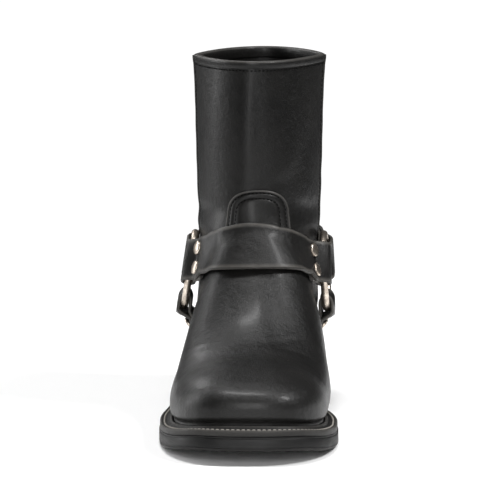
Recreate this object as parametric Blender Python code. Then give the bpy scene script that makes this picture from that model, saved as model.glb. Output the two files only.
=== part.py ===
"""Harness biker boot for the right foot, about EU 42, as separate solids.

The frame: +Z up, the toe points to -Y, the inner (medial) side is +X and the outer
(lateral) side is -X. The origin is on the floor at the middle of the heel's ground face.
Inside the functions a point is (x, s, z), where s runs forward from the back of the sole.
"""

import math

import bmesh
import bpy
import numpy as np

MM = 0.001

# Driving sizes
OUTSOLE_LENGTH = 300 * MM
BALL_WIDTH = 110 * MM
BOOT_HEIGHT = 226 * MM
HEEL_HEIGHT = 36 * MM
TOE_SPRING = 9 * MM
INSTEP_HEIGHT = 100 * MM
SHAFT_WIDTH = 86 * MM
SHAFT_DEPTH = 121 * MM
WALL = 2.4 * MM
GAP = 0.3 * MM
EDGE_GAP = 0.8 * MM
WELT_GAP = 0.75 * MM

# Sole
OUTSOLE_THICK = 8.5 * MM
OUTSOLE_STEP = 0.7 * MM
OUTSOLE_STEP_DOWN = 1.2 * MM
OUTSOLE_EDGE = 1.2 * MM
WELT_THICK = 4.2 * MM
WELT_LIP_RISE = 2.0 * MM
WELT_LIP_WIDTH = 2.2 * MM
WELT_LEDGE = 9.0 * MM
WELT_SET_IN = 0.5 * MM
WELT_ROUND = 0.6 * MM
INSOLE_THICK = 4.0 * MM
INSOLE_CLEAR = 0.7 * MM
INSOLE_ROUND = 0.5 * MM

# Heel
HEEL_LENGTH = 74 * MM
HEEL_TAPER = 2.6 * MM
HEEL_PITCH = 5.0 * MM
HEEL_LIFT_THICK = 7.0 * MM
HEEL_GROOVE = 0.5 * MM
HEEL_LAYERS = 3
GROUND_EDGE = 0.8 * MM

# Upper
SWELL_START = 6.5 * MM
END_SWELL = 1.6 * MM
CROWN_START = 14 * MM
HEEL_LEAN = 20 * MM
BLEND = 16 * MM
SHAFT_START = 18 * MM
SHAFT_SINK = 26 * MM
COLLAR_BAND = 4.5 * MM
COLLAR_STEP = 0.6 * MM
TAB_WIDTH = 38 * MM
TAB_TOP = 145 * MM
TAB_DEPTH = 36 * MM
TAB_STEP = 1.2 * MM
SEAM_RADIUS = 1.3 * MM
SEAM_SINK = 0.4 * MM
SEAM_END = 118 * MM
SEAM_SKEW = 4 * MM

# Harness
STRAP_THICK = 2.3 * MM
FRONT_STRAP_WIDTH = 34.5 * MM
STRAP_WIDTH = 27 * MM
STRAP_SEAT = 0.8 * MM
LOOP_SLACK = 0.9 * MM
RUN_START = 3 * MM
STEP_DOWN = 12 * MM
FOLD_GAP = 0.25 * MM
LAP_END = 6 * MM
RING_HEIGHT = 86 * MM
RING_RADIUS = 24 * MM
WIRE_RADIUS = 2.4 * MM
FRONT_STRAP_HEIGHT = 109 * MM
BACK_STRAP_HEIGHT = 110 * MM
RIVET_RADIUS = 4.4 * MM
RIVET_HEIGHT = 1.7 * MM
GIRTH_RIVET_SEAT = 0.35 * MM
LOWER_RIVET_SEAT = 1.05 * MM
GIRTH_RIVET_OUT = 13 * MM
LOWER_RIVET_OUT = 11 * MM
RIVET_SPREAD = 12.8 * MM

TOE_SQUARE = 3.0
HEEL_ROUND = 2.3


def columns(*names, rows):
    """A table as a dict of arrays, one for each named column; read keeps its slopes there."""
    return dict(zip(names, np.array(rows, float).T))


# Half-widths from the heel-to-toe axis in shares of the ball width: of the outsole's edge, and of
# the upper where it is fullest. ledge is the welt's share of its width at the toe.
PLAN = columns(
    "along", "lateral", "medial", "body_lateral", "body_medial", "ledge",
    rows=[
        (0.00, 0.320, 0.320, 0.305, 0.305, 0.60),
        (0.08, 0.332, 0.330, 0.318, 0.318, 0.60),
        (0.16, 0.338, 0.332, 0.328, 0.325, 0.60),
        (0.26, 0.336, 0.312, 0.340, 0.332, 0.60),
        (0.36, 0.352, 0.284, 0.360, 0.348, 0.65),
        (0.46, 0.405, 0.298, 0.394, 0.396, 0.75),
        (0.56, 0.474, 0.368, 0.432, 0.420, 0.85),
        (0.64, 0.512, 0.446, 0.454, 0.437, 0.95),
        (0.70, 0.522, 0.477, 0.463, 0.434, 1.00),
        (0.78, 0.510, 0.481, 0.452, 0.424, 1.00),
        (0.88, 0.480, 0.466, 0.420, 0.408, 1.00),
        (1.00, 0.440, 0.436, 0.380, 0.376, 1.00),
    ],
)
TOE_START = 0.75
HEEL_END = 0.115

# The outsole's top line: its share of the heel's rise and of the toe spring, and its thickness.
SIDE = columns(
    "along", "heel", "toe", "thick",
    rows=[
        (0.00, 1.00, 0.00, 0.75),
        (0.15, 1.00, 0.00, 0.75),
        (0.26, 1.00, 0.00, 0.75),
        (0.32, 0.905, 0.00, 0.76),
        (0.38, 0.700, 0.00, 0.80),
        (0.45, 0.420, 0.00, 0.86),
        (0.52, 0.170, 0.00, 0.94),
        (0.58, 0.040, 0.00, 1.00),
        (0.63, 0.000, 0.00, 1.00),
        (0.74, 0.000, 0.00, 1.00),
        (0.82, 0.000, 0.18, 1.00),
        (0.91, 0.000, 0.53, 1.00),
        (1.00, 0.000, 1.00, 1.00),
    ],
)

# The top line of the foot above the upper's bottom edge and the height where the upper is
# fullest, in shares of the instep's height, and the roundness of the section over it.
FOOT = columns(
    "along", "top", "full", "crown",
    rows=[
        (0.00, 0.62, 0.34, 2.4),
        (0.25, 0.72, 0.34, 2.3),
        (0.36, 0.86, 0.32, 2.1),
        (0.42, 0.94, 0.30, 2.0),
        (0.49, 0.95, 0.27, 2.0),
        (0.55, 0.82, 0.24, 2.1),
        (0.60, 0.690, 0.20, 2.15),
        (0.65, 0.575, 0.16, 2.1),
        (0.70, 0.493, 0.14, 2.1),
        (0.75, 0.450, 0.13, 2.15),
        (0.80, 0.433, 0.12, 2.2),
        (0.85, 0.422, 0.11, 2.25),
        (0.92, 0.398, 0.11, 2.3),
        (1.00, 0.355, 0.11, 2.4),
    ],
)

# Level sections of the shaft: the height as a share of the boot's height, the front and back
# from the side seams as shares of the shaft's depth, the half-width as a share of its width,
# and how pointed the section is at the side seams (2 is an ellipse).
SHAFT = columns(
    "up", "front", "back", "half", "point",
    rows=[
        (0.00, 0.42, 0.52, 0.36, 2.0),
        (0.20, 0.44, 0.535, 0.38, 2.0),
        (0.33, 0.47, 0.520, 0.400, 2.0),
        (0.43, 0.485, 0.500, 0.428, 2.0),
        (0.52, 0.495, 0.485, 0.448, 1.95),
        (0.62, 0.500, 0.480, 0.456, 1.8),
        (0.75, 0.500, 0.482, 0.464, 1.6),
        (0.88, 0.500, 0.490, 0.472, 1.4),
        (1.00, 0.500, 0.500, 0.484, 1.25),
    ],
)
SEAM_ALONG = 0.262
INSTEP_ALONG = 0.507

# The rings that the upper's rows follow, from the collar to the bottom edge: their heights at
# the back and front as shares between the bottom edge and the collar, where the front lies,
# and the two ends of the spine that a ring's points are cast from.
RINGS = columns(
    "back", "front", "reach", "spine_back", "spine_front",
    rows=[
        (1.000, 1.000, 0.467, 0.205, 0.320),
        (0.837, 0.851, 0.470, 0.205, 0.320),
        (0.653, 0.684, 0.477, 0.205, 0.320),
        (0.521, 0.576, 0.490, 0.200, 0.325),
        (0.416, 0.482, 0.523, 0.190, 0.340),
        (0.326, 0.410, 0.573, 0.180, 0.380),
        (0.258, 0.332, 0.640, 0.170, 0.450),
        (0.205, 0.264, 0.713, 0.165, 0.530),
        (0.163, 0.2105, 0.790, 0.160, 0.610),
        (0.126, 0.176, 0.860, 0.155, 0.680),
        (0.097, 0.142, 0.917, 0.150, 0.730),
        (0.071, 0.102, 0.957, 0.145, 0.760),
        (0.047, 0.064, 0.973, 0.140, 0.780),
        (0.0237, 0.032, 0.973, 0.135, 0.790),
        (0.000, 0.000, 0.970, 0.130, 0.790),
    ],
)
FRONT_COLUMNS = 17
SIDE_COLUMNS = 9
BACK_COLUMNS = 13
UPPER_ROWS = 25


def read(table, column, key, at):
    """A smooth curve through a table's column, level at its ends, peaks and flats."""
    xs, ys = table[key], table[column]
    at = np.clip(at, xs[0], xs[-1])
    if (column, key) not in table:
        steps = np.diff(ys) / np.diff(xs)
        turning = np.append(np.append(True, steps[:-1] * steps[1:] <= 0), True)
        table[column, key] = np.where(turning, 0.0, np.gradient(ys, xs))
    slopes = table[column, key]
    i = np.clip(np.searchsorted(xs, at, side="right") - 1, 0, len(xs) - 2)
    width = xs[i + 1] - xs[i]
    t = (at - xs[i]) / width
    return (
        ys[i] * (1 + 2 * t) * (1 - t) ** 2
        + slopes[i] * width * t * (1 - t) ** 2
        + ys[i + 1] * t * t * (3 - 2 * t)
        + slopes[i + 1] * width * t * t * (t - 1)
    )


def ease(t):
    """0 to 1 with level ends."""
    t = np.clip(t, 0.0, 1.0)
    return t * t * (3 - 2 * t)


def outsole_thickness(s):
    return OUTSOLE_THICK * read(SIDE, "thick", "along", s / OUTSOLE_LENGTH)


def outsole_bottom(s):
    share = s / OUTSOLE_LENGTH
    heel_rise = HEEL_HEIGHT - OUTSOLE_THICK * SIDE["thick"][0]
    rise = heel_rise * read(SIDE, "heel", "along", share)
    return rise + TOE_SPRING * read(SIDE, "toe", "along", share)


def outsole_top(s):
    return outsole_bottom(s) + outsole_thickness(s)


def bottom_edge(s):
    """Height of the upper's bottom edge, just clear of the outsole."""
    return outsole_top(s) + EDGE_GAP


def superellipse(t, power):
    return np.maximum(1 - np.clip(t, 0, 1) ** power, 0) ** (1 / power)


def full_width(s, medial, ledge=0.0, grow=0.0, body=0.0):
    """Half-width at s before the ends are rounded. ledge is the share of the welt's ledge it is
    set in by, grow moves it outwards, and body turns it from the sole's outline (0) into the
    upper's fullest one (1)."""
    share = s / OUTSOLE_LENGTH
    edge = np.where(
        medial, read(PLAN, "medial", "along", share), read(PLAN, "lateral", "along", share)
    )
    edge = edge * BALL_WIDTH - WELT_LEDGE * ledge * read(PLAN, "ledge", "along", share) + grow
    full = BALL_WIDTH * np.where(
        medial,
        read(PLAN, "body_medial", "along", share),
        read(PLAN, "body_lateral", "along", share),
    )
    return edge + (full - edge) * body


def end_shares(s, ledge, grow, lean=0.0):
    """How far s is into the toe's and into the heel's rounding, from 0 to 1 at the very end."""
    toe_start, toe_end = OUTSOLE_LENGTH * TOE_START, outline_end(ledge, grow)
    heel_start, heel_end = OUTSOLE_LENGTH * HEEL_END, outline_start(ledge, grow) + lean
    toe = np.maximum((s - toe_start) / (toe_end - toe_start), 0)
    return toe, np.maximum((heel_start - s) / (heel_start - heel_end), 0)


def half_width(s, medial, ledge=0.0, grow=0.0):
    """Half-width of a plan outline at s, rounded at the toe and heel."""
    toe, heel = end_shares(s, ledge, grow)
    half = full_width(s, medial, ledge, grow)
    return half * superellipse(toe, TOE_SQUARE) * superellipse(heel, HEEL_ROUND)


def outline_end(ledge, grow):
    return OUTSOLE_LENGTH - WELT_LEDGE * ledge * PLAN["ledge"][-1] + grow


def outline_start(ledge, grow):
    return WELT_LEDGE * ledge * PLAN["ledge"][0] - grow


def foot_form(x, s, z):
    """Signed distance, roughly, to the outside of the foot part of the upper."""
    share = s / OUTSOLE_LENGTH
    up = z - bottom_edge(s)
    full_height = INSTEP_HEIGHT * read(FOOT, "full", "along", share)
    body = ease((up - SWELL_START) / (full_height - SWELL_START))
    lean = HEEL_LEAN * ease((up - CROWN_START) / INSTEP_HEIGHT)
    toe, heel = end_shares(s, 1.0, END_SWELL * body, lean)
    half = full_width(s, x > 0, 1.0, END_SWELL * body, body)
    across = ((np.abs(x) / half) ** TOE_SQUARE + toe**TOE_SQUARE) ** (1 / TOE_SQUARE)
    back = ((np.abs(x) / half) ** HEEL_ROUND + heel**HEEL_ROUND) ** (1 / HEEL_ROUND)
    across = np.maximum(across, back)
    height = INSTEP_HEIGHT * read(FOOT, "top", "along", share) - CROWN_START
    rise = np.maximum(up - CROWN_START, 0) / height
    power = read(FOOT, "crown", "along", share)
    return ((across**power + rise**power) ** (1 / power) - 1) * np.minimum(half, height)


def shaft_form(x, s, z):
    """Signed distance, roughly, to the outside of the shaft."""
    up = z / BOOT_HEIGHT
    half = SHAFT_WIDTH * read(SHAFT, "half", "up", up)
    power = read(SHAFT, "point", "up", up)
    from_seam = s - OUTSOLE_LENGTH * SEAM_ALONG + SEAM_SKEW * x / half
    side = np.where(from_seam > 0, read(SHAFT, "front", "up", up), read(SHAFT, "back", "up", up))
    deep = np.abs(from_seam) / (SHAFT_DEPTH * side)
    radial = (np.abs(x) / half) ** 2.1 + deep**power
    return (radial ** (2 / (2.1 + power)) - 1) * half


def skin(x, s, z):
    """Signed distance, roughly, to the upper's outside: foot and shaft in one smooth form. The
    shaft sinks into the foot towards the bottom edge."""
    foot = foot_form(x, s, z)
    shaft = shaft_form(x, s, z) + SHAFT_SINK * (1 - ease((z - bottom_edge(s)) / SHAFT_START))
    mix = np.clip(0.5 + 0.5 * (shaft - foot) / BLEND, 0, 1)
    return shaft * (1 - mix) + foot * mix - BLEND * mix * (1 - mix)


def slope(points):
    """Outward unit normals of the skin at points (n, 3) of x, s, z."""
    step = 0.2 * MM
    grads = []
    for axis in range(3):
        ahead, behind = points.copy(), points.copy()
        ahead[:, axis] += step
        behind[:, axis] -= step
        grads.append(skin(*ahead.T) - skin(*behind.T))
    grads = np.stack(grads, 1)
    return grads / np.linalg.norm(grads, axis=1, keepdims=True)


def onto_skin(points, lift=0.0):
    """The points moved along their normals to stand lift outside the skin."""
    points = np.array(points, float).reshape(-1, 3)
    for _ in range(30):
        off = np.clip(skin(*points.T), -4 * MM, 4 * MM)
        points = points - slope(points) * off[:, None]
        if np.abs(off).max() < 0.001 * MM:
            break
    return points + slope(points) * lift


def ring_columns(front, side, back):
    """Each column's direction, 0 forwards, and its place on the spine, 0 back and 1 front."""
    quarter = math.pi / 2
    arc = np.linspace(-quarter, quarter, front, endpoint=False)
    heel = np.linspace(quarter, 3 * quarter, back, endpoint=False)
    slide = np.linspace(0, 1, side, endpoint=False)
    turn = np.concatenate([arc, np.full(side, quarter), heel, np.full(side, -quarter)])
    place = np.concatenate([np.ones(front), 1 - slide, np.zeros(back), slide])
    return turn, place


def upper_grid(rows, front, side, back):
    """The upper's outside as rows of (x, s, z) points, from the collar down."""
    turn, place = ring_columns(front, side, back)
    index = np.linspace(0, 1, rows)
    keys = dict(RINGS, row=np.linspace(0, 1, len(RINGS["back"])))
    ring = {name: read(keys, name, "row", index)[:, None] for name in RINGS}
    origin = OUTSOLE_LENGTH * (
        ring["spine_back"] + (ring["spine_front"] - ring["spine_back"]) * place
    )
    near, far = np.zeros_like(origin), np.full_like(origin, OUTSOLE_LENGTH * 0.6)
    for _ in range(46):
        middle = (near + far) / 2
        x, s, z = ring_point(ring, origin, turn, middle)
        outside = skin(x, s, z) > 0
        near, far = np.where(outside, near, middle), np.where(outside, middle, far)
    return np.stack(ring_point(ring, origin, turn, (near + far) / 2), -1)


def ring_point(ring, origin, turn, reach):
    s = origin + reach * np.cos(turn)
    x = reach * np.sin(turn)
    share = s / (OUTSOLE_LENGTH * ring["reach"])
    up = ring["back"] + (ring["front"] - ring["back"]) * share
    base = bottom_edge(s)
    return x, s, base + up * (BOOT_HEIGHT - base)


def to_world(points):
    """(x, s, z) to the boot's own frame."""
    points = np.asarray(points, float)
    return np.stack([points[..., 0], HEEL_CENTRE - points[..., 1], points[..., 2]], -1)


HEEL_CENTRE = HEEL_PITCH / 2 + HEEL_LENGTH / 2


def add_object(name, points, faces, material):
    """A mesh object from world points, with its normals facing out."""
    mesh = bpy.data.meshes.new(name)
    mesh.from_pydata([tuple(p) for p in np.asarray(points).reshape(-1, 3)], [], faces)
    work = bmesh.new()
    work.from_mesh(mesh)
    bmesh.ops.recalc_face_normals(work, faces=work.faces)
    work.to_mesh(mesh)
    work.free()
    mesh.materials.append(material)
    made = bpy.data.objects.new(name, mesh)
    bpy.context.scene.collection.objects.link(made)
    mesh.shade_smooth()
    mesh.set_sharp_from_angle(angle=math.radians(35))
    return made


def grid_faces(rows, count, wrap=True):
    """Quads between neighbouring rows of points."""
    last = count if wrap else count - 1
    return [
        (r * count + c, r * count + (c + 1) % count, (r + 1) * count + (c + 1) % count,
         (r + 1) * count + c)
        for r in range(rows - 1)
        for c in range(last)
    ]


def skin_faces(grid):
    """Triangles between rows of skin points: each quad is cut along its better diagonal."""
    rows, count = grid.shape[:2]
    flat = grid.reshape(-1, 3)
    quads = np.array(grid_faces(rows, count))
    one = np.abs(skin(*((flat[quads[:, 0]] + flat[quads[:, 2]]) / 2).T))
    two = np.abs(skin(*((flat[quads[:, 1]] + flat[quads[:, 3]]) / 2).T))
    faces = []
    for (a, b, c, d), first in zip(quads.tolist(), one <= two):
        faces += [(a, b, c), (a, c, d)] if first else [(a, b, d), (b, c, d)]
    return faces


def add_tube_of_sections(name, sections, material):
    """A closed solid through sections of equal point count, with flat caps at both ends."""
    rows, count = sections.shape[:2]
    faces = grid_faces(rows, count)
    faces.append(tuple(range(count))[::-1])
    faces.append(tuple((rows - 1) * count + c for c in range(count)))
    return add_object(name, to_world(sections), faces, material)


def finish_of(name, colour, roughness, metallic=0.0):
    made = bpy.data.materials.new(name)
    made.use_nodes = True
    shader = made.node_tree.nodes["Principled BSDF"]
    shader.inputs["Base Color"].default_value = (*colour, 1)
    shader.inputs["Roughness"].default_value = roughness
    shader.inputs["Metallic"].default_value = metallic
    return made


def make_upper(leather):
    """One hollow wall from collar to bottom edge, with a turned collar, raised side seams and
    the raised tab in front."""
    outside = upper_grid(UPPER_ROWS, FRONT_COLUMNS, SIDE_COLUMNS, BACK_COLUMNS)
    collar, down = outside[0], np.array([0, 0, COLLAR_BAND])
    outward = slope(collar - down)
    outward[:, 2] = 0
    inside = outside - slope(outside.reshape(-1, 3)).reshape(outside.shape) * WALL
    inside[0] = collar - outward * WALL
    inside[-1, :, 2] = outside[-1, :, 2]
    band = [collar + outward * COLLAR_STEP, collar - down + outward * COLLAR_STEP]
    step = collar - down * (1 + COLLAR_STEP / COLLAR_BAND)
    shell = np.concatenate([band, [step], outside[1:], inside[::-1]])
    rows, count = shell.shape[:2]
    skins = skin_faces(outside)
    cut = 2 * count
    faces = grid_faces(4, count)
    faces += [tuple(i + cut for i in face) for face in skins if min(face) >= count]
    first_inside = (rows - len(inside)) * count
    faces += [(first_inside - count + c, first_inside - count + (c + 1) % count,
               first_inside + (c + 1) % count, first_inside + c) for c in range(count)]
    turn = [first_inside + (len(inside) - 1 - i // count) * count + i % count
            for i in range(inside.shape[0] * count)]
    faces += [tuple(turn[i] for i in face[::-1]) for face in skins]
    last = (rows - 1) * count
    faces += [(last + c, last + (c + 1) % count, (c + 1) % count, c) for c in range(count)]
    upper = add_object("upper", to_world(shell), faces, leather)
    for name, overlay in (("tab", make_tab(leather)), ("seam_lateral", make_seam(leather, -1)),
                          ("seam_medial", make_seam(leather, 1))):
        union = upper.modifiers.new(name, "BOOLEAN")
        union.operation = "UNION"
        union.object = overlay
    return upper


def make_seam(leather, side):
    """A corded seam down one side of the shaft, half sunk into its wall."""
    heights = np.linspace(BOOT_HEIGHT - COLLAR_BAND - 2 * SEAM_RADIUS, SEAM_END, 8)
    sections = []
    for z in heights:
        up = z / BOOT_HEIGHT
        half = SHAFT_WIDTH * read(SHAFT, "half", "up", up)
        place = onto_skin([(side * half, OUTSOLE_LENGTH * SEAM_ALONG - side * SEAM_SKEW, z)])
        out = slope(place)[0]
        ahead = np.cross(out, [0, 0, 1])
        sections.append([
            place[0] - out * SEAM_SINK
            + SEAM_RADIUS * (out * math.cos(turn) + ahead * math.sin(turn))
            for turn in np.linspace(0, 2 * math.pi, 6, endpoint=False)
        ])
    seam = add_tube_of_sections(f"seam_{side}", np.array(sections), leather)
    seam.hide_render = True
    seam.display_type = "WIRE"
    return seam


def make_tab(leather):
    """The front's raised tongue-shaped tab: a skin-following slab cut by the tab's outline."""
    half, low = TAB_WIDTH * 0.75, TAB_TOP - TAB_DEPTH
    across = np.linspace(-half, half, 9)
    up = np.linspace(low - 6 * MM, TAB_TOP + 8 * MM, 8)
    front = OUTSOLE_LENGTH * SEAM_ALONG + SHAFT_DEPTH * 0.52
    guess = np.array([(x, front, z) for z in up for x in across])
    inner, outer = onto_skin(guess, -WALL / 2), onto_skin(guess, TAB_STEP)
    rows, count = len(up), len(across)
    faces = grid_faces(rows, count, wrap=False)
    size = rows * count
    faces += [tuple(i + size for i in face[::-1]) for face in faces]
    rim = [c for c in range(count)]
    rim += [r * count + count - 1 for r in range(1, rows)]
    rim += [(rows - 1) * count + c for c in range(count - 2, -1, -1)]
    rim += [r * count for r in range(rows - 2, 0, -1)]
    faces += [(a, rim[(i + 1) % len(rim)], rim[(i + 1) % len(rim)] + size, a + size)
              for i, a in enumerate(rim)]
    slab = add_object("tab_slab", to_world(np.concatenate([inner, outer])), faces, leather)
    outline = tab_outline(24)
    near, far = front - SHAFT_DEPTH * 0.3, front + SHAFT_DEPTH * 0.5
    prism = np.array([[(x, s, z) for x, z in outline] for s in (near, far)])
    cutter = add_tube_of_sections("tab_cutter", prism, leather)
    cut = slab.modifiers.new("outline", "BOOLEAN")
    cut.operation = "INTERSECT"
    cut.object = cutter
    for helper in (slab, cutter):
        helper.hide_render = True
        helper.display_type = "WIRE"
    return slab


def tab_outline(steps):
    """The tab seen from the front: straight sides that widen a little, and a rounded top."""
    half, shoulder = TAB_WIDTH / 2, TAB_TOP - TAB_WIDTH * 0.42
    low = TAB_TOP - TAB_DEPTH
    turn = np.linspace(0, math.pi, steps)
    x = half * np.sign(np.cos(turn)) * np.abs(np.cos(turn)) ** 0.8
    z = shoulder + (TAB_TOP - shoulder) * np.sin(turn) ** 0.9
    foot = half * 1.08
    return [(foot, low)] + list(zip(x, z)) + [(-foot, low)]


OUTLINE_PAIRS = 28
HEEL_PAIRS = 12
ROUND_PAIRS = 6


def plan_pairs(count, ledge, grow, end=None):
    """Matching lateral and medial outline points, closer together at the two round ends."""
    start, heel_start = outline_start(ledge, grow), OUTSOLE_LENGTH * HEEL_END
    round_end = np.linspace(0, math.pi / 2, ROUND_PAIRS + 1, endpoint=False)[1:]
    heel = heel_start - (heel_start - start) * np.cos(round_end) ** (2 / HEEL_ROUND)
    if end is None:
        end, toe_start = outline_end(ledge, grow), OUTSOLE_LENGTH * TOE_START
        toe = toe_start + (end - toe_start) * np.sin(round_end) ** (2 / TOE_SQUARE)
        sides = np.linspace(heel_start, toe_start, count - 2 * len(round_end))
        s = np.concatenate([heel, sides, toe])
    else:
        s = np.append(heel, np.linspace(heel_start, end, count - len(round_end) + 1)[:-1])
    left = -half_width(s, np.zeros(count, bool), ledge, grow)
    right = half_width(s, np.ones(count, bool), ledge, grow)
    return s, left, right


def outline_loop(count, ledge, grow, end=None):
    """The plan outline as one loop of (x, s): the heel's tip, lateral side, toe, medial side."""
    s, left, right = plan_pairs(count, ledge, grow, end=end)
    start = outline_start(ledge, grow)
    lateral, medial = np.stack([left, s], 1), np.stack([right, s], 1)
    if end is None:
        tips = [[0, start]], [[0, outline_end(ledge, grow)]]
        return np.concatenate([tips[0], lateral, tips[1], medial[::-1]])
    cut = [[-half_width(end, False, ledge, grow), end], [half_width(end, True, ledge, grow), end]]
    return np.concatenate([[[0, start]], lateral, cut, medial[::-1]])


def ladder_faces(count, first=0):
    """Faces across an outline_loop whose two sides match, from the heel's tip to the toe's."""
    total = 2 * count + 2
    pair = [(first + i, first + (total - i) % total) for i in range(count + 2)]
    faces = [(pair[0][0], pair[1][0], pair[1][1])]
    for (a, b), (c, d) in zip(pair[1:-2], pair[2:-1]):
        faces.append((a, c, d, b))
    faces.append((pair[-2][0], pair[-1][0], pair[-2][1]))
    return faces


def make_slab(name, profile, count, height, material):
    """A solid whose side follows profile, rows of (ledge, grow, share, drop) from the bottom up:
    the outline's set-in, its growth, its share of the thickness and an absolute rise."""
    loops = []
    for ledge, grow, share, rise in profile:
        loop = outline_loop(count, ledge, grow)
        low, high = height(loop[:, 1])
        loops.append(np.column_stack([loop, low + (high - low) * share + rise]))
    loops = np.array(loops)
    rows, total = loops.shape[:2]
    faces = grid_faces(rows, total)
    faces += [f[::-1] for f in ladder_faces(count)]
    faces += ladder_faces(count, (rows - 1) * total)
    return add_object(name, to_world(loops), faces, material)


def make_outsole(rubber):
    """Full-length outsole, arched at the waist, with a chamfered tread edge and a side step."""
    def height(s):
        return outsole_bottom(s), outsole_top(s)

    edge, step = OUTSOLE_EDGE / OUTSOLE_THICK, 1 - OUTSOLE_STEP_DOWN / OUTSOLE_THICK
    profile = [
        (0, -OUTSOLE_EDGE, 0, 0),
        (0, 0, edge, 0),
        (0, 0, step, 0),
        (0, -OUTSOLE_STEP, step + OUTSOLE_STEP / OUTSOLE_THICK / 2, 0),
        (0, -OUTSOLE_STEP, 1, 0),
    ]
    return make_slab("outsole", profile, OUTLINE_PAIRS, height, rubber)


def make_insole(lining):
    """The sock that closes the upper's inside, standing clear of the outsole and the wall."""
    def height(s):
        return bottom_edge(s), bottom_edge(s) + INSOLE_THICK

    inside = -WALL - INSOLE_CLEAR
    profile = [(1, inside - INSOLE_ROUND, 0, 0), (1, inside, 0.2, 0), (1, inside, 1, 0)]
    return make_slab("insole", profile, OUTLINE_PAIRS, height, lining)


def make_welt(leather):
    """The welt all round the upper: a flat ledge with a raised lip against the leather."""
    top = WELT_THICK
    lip_top = WELT_THICK + WELT_LIP_RISE
    section = [
        (1, WELT_GAP, GAP),
        (1, WELT_GAP, lip_top - WELT_ROUND),
        (1, WELT_GAP + WELT_ROUND, lip_top),
        (1, WELT_LIP_WIDTH, lip_top - WELT_ROUND),
        (1, WELT_LIP_WIDTH + WELT_ROUND, top),
        (0, -WELT_SET_IN - WELT_ROUND, top),
        (0, -WELT_SET_IN, top - WELT_ROUND),
        (0, -WELT_SET_IN, GAP),
    ]
    loops = []
    for ledge, grow, rise in section:
        loop = outline_loop(OUTLINE_PAIRS, ledge, grow)
        loops.append(np.column_stack([loop, outsole_top(loop[:, 1]) + rise]))
    loops = np.array(loops + loops[:1])
    rows, total = loops.shape[:2]
    faces = [
        tuple(i % ((rows - 1) * total) for i in face) for face in grid_faces(rows, total)
    ]
    return add_object("welt", to_world(loops[:-1]), faces, leather)


def heel_loop(count, drop, grow=0.0):
    """The heel's outline at a share of its drop: the back comes forward and the sides taper."""
    breast = HEEL_LENGTH + HEEL_PITCH * 0.3 * (1 - drop)
    loop = outline_loop(count, 0, -HEEL_TAPER * drop + grow, end=breast)
    back = HEEL_PITCH * drop * (1 - np.clip(loop[:, 1] / HEEL_LENGTH, 0, 1))
    loop[:, 1] += back
    return loop


def add_heel_block(name, levels, material):
    """A heel layer through (height, drop, grow) levels from the bottom up."""
    loops = [
        np.column_stack([heel_loop(HEEL_PAIRS, drop, grow), np.full(2 * HEEL_PAIRS + 3, z)])
        for z, drop, grow in levels
    ]
    return add_tube_of_sections(name, np.array(loops), material)


def make_heel(leather, rubber):
    """A stacked block and, below it, the rubber top lift that stands on the floor."""
    top = outsole_bottom(0.0) - GAP
    low = HEEL_LIFT_THICK + GAP
    levels, layer = [], (top - low) / HEEL_LAYERS

    def drop_at(z):
        return 1 - z / top

    for i in range(HEEL_LAYERS):
        z = low + layer * i
        foot = z if i == 0 else z + 2 * HEEL_GROOVE
        levels.append((foot, drop_at(foot), 0))
        levels.append((z + layer - HEEL_GROOVE, drop_at(z + layer - HEEL_GROOVE), 0))
        if i < HEEL_LAYERS - 1:
            levels.append((z + layer + HEEL_GROOVE / 2, drop_at(z + layer), -HEEL_GROOVE))
    levels[-1] = (top, 0, 0)
    add_heel_block("heel", levels, leather)
    lift = [
        (0, 1, -GROUND_EDGE),
        (GROUND_EDGE, drop_at(GROUND_EDGE), 0),
        (HEEL_LIFT_THICK, drop_at(HEEL_LIFT_THICK), 0),
    ]
    add_heel_block("heel_lift", lift, rubber)


class Ring:
    """One harness ring: its centre, the outward normal and two directions in its plane."""

    along, forward_turn = 0.300, 0.03
    leans = {-1: 0.15, 1: 0.05}

    def __init__(self, side):
        normal = np.array([side, self.forward_turn, self.leans[side]])
        self.normal = normal / np.linalg.norm(normal)
        ahead = np.array([0.0, 1.0, 0.0]) - self.normal * self.normal[1]
        self.ahead = ahead / np.linalg.norm(ahead)
        rise = np.cross(self.normal, self.ahead)
        self.rise = rise if rise[2] > 0 else -rise
        place = np.array([[side * SHAFT_WIDTH * 0.45, OUTSOLE_LENGTH * self.along, RING_HEIGHT]])
        self.centre = onto_skin(place)[0]
        bare = STRAP_SEAT + WIRE_RADIUS
        for _ in range(8):
            circle = np.array([self.point(math.radians(a)) for a in range(0, 360, 15)])
            over_strap = np.array([a > 155 or a < 35 for a in range(0, 360, 15)])
            clear = skin(*circle.T) - bare - (STRAP_THICK + GAP) * over_strap
            self.centre = self.centre - self.normal * clear.min()

    def direction(self, turn):
        """A direction in the ring's plane, 0 to the toe and a quarter turn upwards."""
        return self.ahead * math.cos(turn) + self.rise * math.sin(turn)

    def point(self, turn):
        return self.centre + self.direction(turn) * RING_RADIUS

    def heading(self, tilt, forward):
        """The turn at which a strap leaves whose level plane climbs at tilt forwards."""
        across = np.array([0.0, -math.sin(tilt), math.cos(tilt)])
        turn = math.atan2(-self.ahead @ across, self.rise @ across)
        return turn if forward == (math.cos(turn) > 0) else turn + math.pi


def make_ring(name, ring, metal):
    turns, sides = 26, 8
    sections = []
    for i in range(turns):
        out = ring.direction(2 * math.pi * i / turns)
        sections.append([
            ring.centre
            + out * (RING_RADIUS + WIRE_RADIUS * math.cos(2 * math.pi * k / sides))
            + ring.normal * WIRE_RADIUS * math.sin(2 * math.pi * k / sides)
            for k in range(sides)
        ])
    faces = [
        tuple(i % (turns * sides) for i in face) for face in grid_faces(turns + 1, sides)
    ]
    return add_object(name, to_world(sections), faces, metal)


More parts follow.
